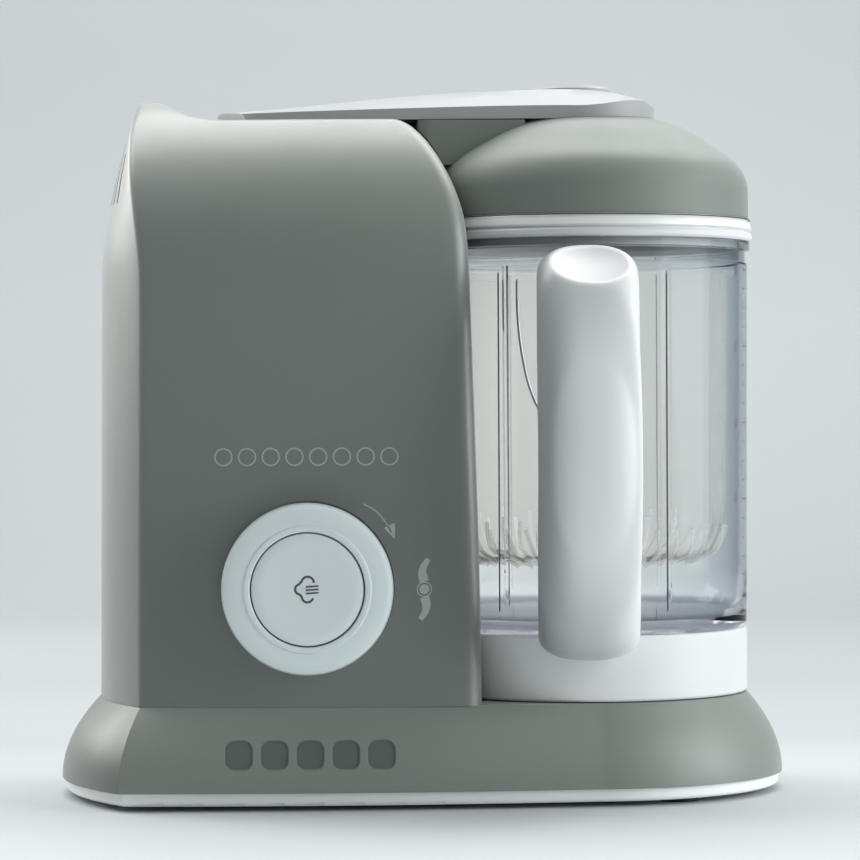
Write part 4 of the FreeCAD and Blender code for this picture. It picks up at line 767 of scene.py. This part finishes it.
def swept_handle():
    """The bow as rings of points, closed at both ends."""
    mesh = bmesh.new()
    rows = 120
    round_count = 56
    outer = even_points(BOW_OUTSIDE, rows)
    inner = even_points(BOW_INSIDE, rows)
    rings = []
    for out_point, in_point in zip(outer, inner):
        centre = (out_point + in_point) / 2.0
        half = (out_point - in_point) / 2.0
        ring = []
        for step in range(round_count):
            x, depth = soft_bar(2.0 * math.pi * step / round_count, HANDLE_WIDTH / 2.0, 1.0)
            spot = centre + half * depth
            ring.append(mesh.verts.new(handle_point(x, spot.x, spot.y)))
        rings.append(ring)
    for ring, following in zip(rings, rings[1:]):
        for step in range(round_count):
            ahead = (step + 1) % round_count
            mesh.faces.new((ring[step], ring[ahead], following[ahead], following[step]))
    mesh.faces.new(rings[0])
    mesh.faces.new(rings[-1])
    bmesh.ops.recalc_face_normals(mesh, faces=mesh.faces)
    data = bpy.data.meshes.new("swept_handle")
    mesh.to_mesh(data)
    mesh.free()
    for polygon in data.polygons:
        polygon.use_smooth = len(polygon.vertices) == 4
    piece = bpy.data.objects.new("swept_handle", data)
    bpy.context.scene.collection.objects.link(piece)
    data.materials.append(handle_white)
    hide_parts("jug_handle")
    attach(piece, "jug")


swept_handle()


# ------------------------------------------------------------- wires and lines

def wire(name, runs, radius, material, body, closed=False, stands_for=None):
    """Round wires through runs of points in millimetres, as one piece on a body."""
    curve = bpy.data.curves.new(name, "CURVE")
    curve.dimensions = "3D"
    curve.bevel_depth = radius * MM
    curve.bevel_resolution = 3
    curve.use_fill_caps = True
    for run in runs:
        line = curve.splines.new("POLY")
        line.points.add(len(run) - 1)
        line.use_cyclic_u = closed
        for index, (x, y, z) in enumerate(run):
            line.points[index].co = (x * MM, y * MM, z * MM, 1.0)
    curve.materials.append(material)
    piece = bpy.data.objects.new(name, curve)
    bpy.context.scene.collection.objects.link(piece)
    if stands_for:
        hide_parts(stands_for)
    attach(piece, body)


def dome_gap():
    """Thin shadow line where the dome meets the lid ring."""
    steps = 160
    radius, height = 65.45, 224.9
    run = []
    for index in range(steps):
        angle = 2.0 * math.pi * index / steps
        run.append((JUG_X / MM + radius * math.cos(angle), radius * math.sin(angle), height))
    wire("dome_gap", [run], 0.2, dark_plastic, "lid", closed=True)


def rib_lines():
    """Painted shade: a dark line on the edge of each front rib, on the jug's outside."""
    runs = []
    for x in (-37.7, 26.4):
        run = []
        for z in (203.0, 170.0, 130.0, 100.0, 73.0):
            out = jug_side(z) + 0.1
            run.append((JUG_X / MM + x, -math.sqrt(out * out - x * x), z))
        runs.append(run)
    wire("rib_lines", runs, 0.3, rib_edge_shade, "jug")


def basket_ribs():
    """Moulded bars round the basket's lower edge."""
    profile = smooth_line([(55.5, 104.0), (54.0, 98.5), (50.8, 93.4), (42.0, 89.3)], 5)
    count = 40
    twist, twist_from, twist_over = 0.10, 113.0, 24.0
    runs = []
    for index in range(count):
        start = 2.0 * math.pi * (index + 0.5) / count
        run = []
        for out, z in profile:
            angle = start + twist * (twist_from - z) / twist_over
            run.append((JUG_X / MM + out * math.cos(angle), out * math.sin(angle), z))
        runs.append(run)
    wire("basket_ribs", runs, 0.8, rib_milk, "jug")


def slot_shadows():
    """Dark depth of the vent slots high on the left side."""
    shell = surface_of("body_shell")
    first_y, pitch, low_z = -36.0, 8.0, 232.0
    half_width, depth = 1.7, 1.15
    steps = 13
    runs = []
    for index in range(10):
        y = first_y + pitch * index
        length = 17.0 + 4.5 * min(index, 2)
        run = []
        for step in range(steps + 1):
            z = low_z + length * step / steps
            hits = []
            for beside in (-half_width, half_width):
                start = Vector((-0.3, (y + beside) * MM, z * MM))
                point, _, _, _ = shell.ray_cast(start, Vector((1, 0, 0)))
                hits.append(point.x / MM)
            run.append((sum(hits) / 2.0 + depth, y, z))
        runs.append(run)
    wire("slot_shadows", runs, 0.8, dark_plastic, "housing")


def wire_bail():
    """Round wire bow hanging in the basket."""
    middle_x, bow_y = JUG_X / MM - 8.5, -34.0
    half = [(-20.6, 201.0), (-20.6, 193.0), (-20.2, 184.0), (-18.8, 172.0), (-16.2, 160.0),
            (-12.0, 150.0), (-6.0, 143.5), (0.0, 141.5)]
    path = smooth_line(half + [(-x, z) for x, z in reversed(half[:-1])], 10)
    run = [(middle_x + x, bow_y, z) for x, z in path]
    wire("wire_bail", [run], 0.6, wire_grey, "jug", stands_for="basket_bail")


def coil(name, centre, axis, radius, thickness, turns, length, body, stands_for):
    """Wound wire spring along an axis, starting at its centre."""
    per_turn = 24
    steps = int(turns * per_turn)
    turn = Vector((0, 0, 1)).rotation_difference(Vector(axis)).to_matrix()
    run = []
    for index in range(steps + 1):
        angle = 2.0 * math.pi * index / per_turn
        local = Vector((radius * math.cos(angle), radius * math.sin(angle),
                        length * index / steps))
        run.append(tuple(Vector(centre) + turn @ local))
    wire(name, [run], thickness, stainless, body, stands_for=stands_for)


dome_gap()
rib_lines()
basket_ribs()
slot_shadows()
wire_bail()
coil("lock_coil", (61.0, 0.0, 269.2), (0, 0, 1), 5.3, 0.35, 3.0, 1.8, "lid", "lock_spring")
coil("dial_coil", (DIAL_X, -59.9, DIAL_Z), (0, 1, 0), 21.5, 0.4, 2.0, 1.4, "housing",
     "dial_spring")


# ----------------------------------------------------------- floor, light, camera

# painted light and shade on the sweep: lightness at depths in metres, front to back
SWEEP_PAINTED_SHADES = [(-0.6, 0.35), (-0.42, 0.90), (-0.15, 0.87), (0.0, 0.79), (0.2, 0.62),
                (0.55, 0.58), (1.1, 0.70), (1.9, 1.02), (2.3, 1.02)]


def backdrop():
    """Pale sweep: floor running back into a wall through a wide curve."""
    mesh = bmesh.new()
    front, bend_from, bend, top, half_width = -2.2, 1.2, 1.2, 4.0, 4.0
    steps = 16
    profile = [(front, 0.0), (bend_from, 0.0)]
    for index in range(1, steps + 1):
        angle = math.radians(90.0 * index / steps)
        profile.append((bend_from + bend * math.sin(angle), bend - bend * math.cos(angle)))
    profile.append((bend_from + bend, top))
    rows = []
    for y, z in profile:
        rows.append((mesh.verts.new((-half_width, y, z)), mesh.verts.new((half_width, y, z))))
    for (a, b), (c, d) in zip(rows, rows[1:]):
        mesh.faces.new((a, b, d, c))
    data = bpy.data.meshes.new("sweep")
    mesh.to_mesh(data)
    mesh.free()
    for polygon in data.polygons:
        polygon.use_smooth = True
    sweep = bpy.data.objects.new("sweep", data)
    bpy.context.scene.collection.objects.link(sweep)
    material, tree, shader, coords = new_tree("pale_sweep")
    mix = tinted(tree, coords, (0.66, 0.70, 0.71), 0.02, 1.5)
    # painted light and shade along the sweep's depth
    stops = [(depth, (shade, shade, shade)) for depth, shade in SWEEP_PAINTED_SHADES]
    shades = colour_along(tree, along_axis(tree, "Position", "Y"), stops, 1.0)
    tree.links.new(multiplied(tree, mix.outputs["Result"], shades), shader.inputs["Base Color"])
    shader.inputs["Roughness"].default_value = 0.6
    shader.inputs["Specular IOR Level"].default_value = 0.25
    data.materials.append(material)


backdrop()


def soft_light(name, place, target, size, power, colour=(1, 1, 1)):
    """Rectangular lamp at a place in metres, turned to its target."""
    lamp = bpy.data.lights.new(name, "AREA")
    lamp.shape = "RECTANGLE"
    lamp.size, lamp.size_y = size
    lamp.energy = power
    lamp.color = colour
    holder = bpy.data.objects.new(name, lamp)
    bpy.context.scene.collection.objects.link(holder)
    holder.location = place
    aim = Vector(target) - Vector(place)
    holder.rotation_euler = aim.to_track_quat("-Z", "Y").to_euler()


CENTRE = (0.0, 0.0, 0.14)
soft_light("top_panel", (-0.05, 0.28, 1.10), (0.0, 0.0, 0.2), (2.0, 0.7), 21.0)
soft_light("left_panel", (-1.05, 0.82, 0.62), (-0.15, 0.0, 0.28), (0.6, 0.6), 7.6,
           (1.0, 0.985, 0.96))
soft_light("right_box", (1.45, -0.50, 0.50), CENTRE, (1.2, 1.2), 21.0, (0.96, 0.985, 1.0))
soft_light("backdrop_box", (0.0, 1.0, 1.6), (-0.2, 2.2, 0.4), (2.2, 0.5), 15.0)

world = bpy.data.worlds.new("studio")
world.use_nodes = True
sky = world.node_tree.nodes["Background"]
sky.inputs["Color"].default_value = (0.78, 0.82, 0.83, 1.0)
sky.inputs["Strength"].default_value = 0.37
bpy.context.scene.world = world

CAMERA_PLACE = (-0.0503, -1.399, 0.1521)
CAMERA_LENS = 147.1
CAMERA_YAW = math.radians(2.2)
CAMERA_PITCH = 0.0069
CAMERA_ROLL = 0.0055
camera_data = bpy.data.cameras.new("camera")
camera_data.lens = CAMERA_LENS
camera_data.sensor_width = 36.0
camera = bpy.data.objects.new("camera", camera_data)
bpy.context.scene.collection.objects.link(camera)
forward = Vector((math.sin(CAMERA_YAW), math.cos(CAMERA_YAW), -CAMERA_PITCH)).normalized()
right = forward.cross(Vector((0, 0, 1))).normalized()
up = right.cross(forward)
tilted_right = right * math.cos(CAMERA_ROLL) - up * math.sin(CAMERA_ROLL)
tilted_up = up * math.cos(CAMERA_ROLL) + right * math.sin(CAMERA_ROLL)
turned = Matrix((tilted_right, tilted_up, -forward)).transposed().to_4x4()
camera.matrix_world = Matrix.Translation(CAMERA_PLACE) @ turned
bpy.context.scene.camera = camera
bpy.context.scene.view_settings.view_transform = "Standard"
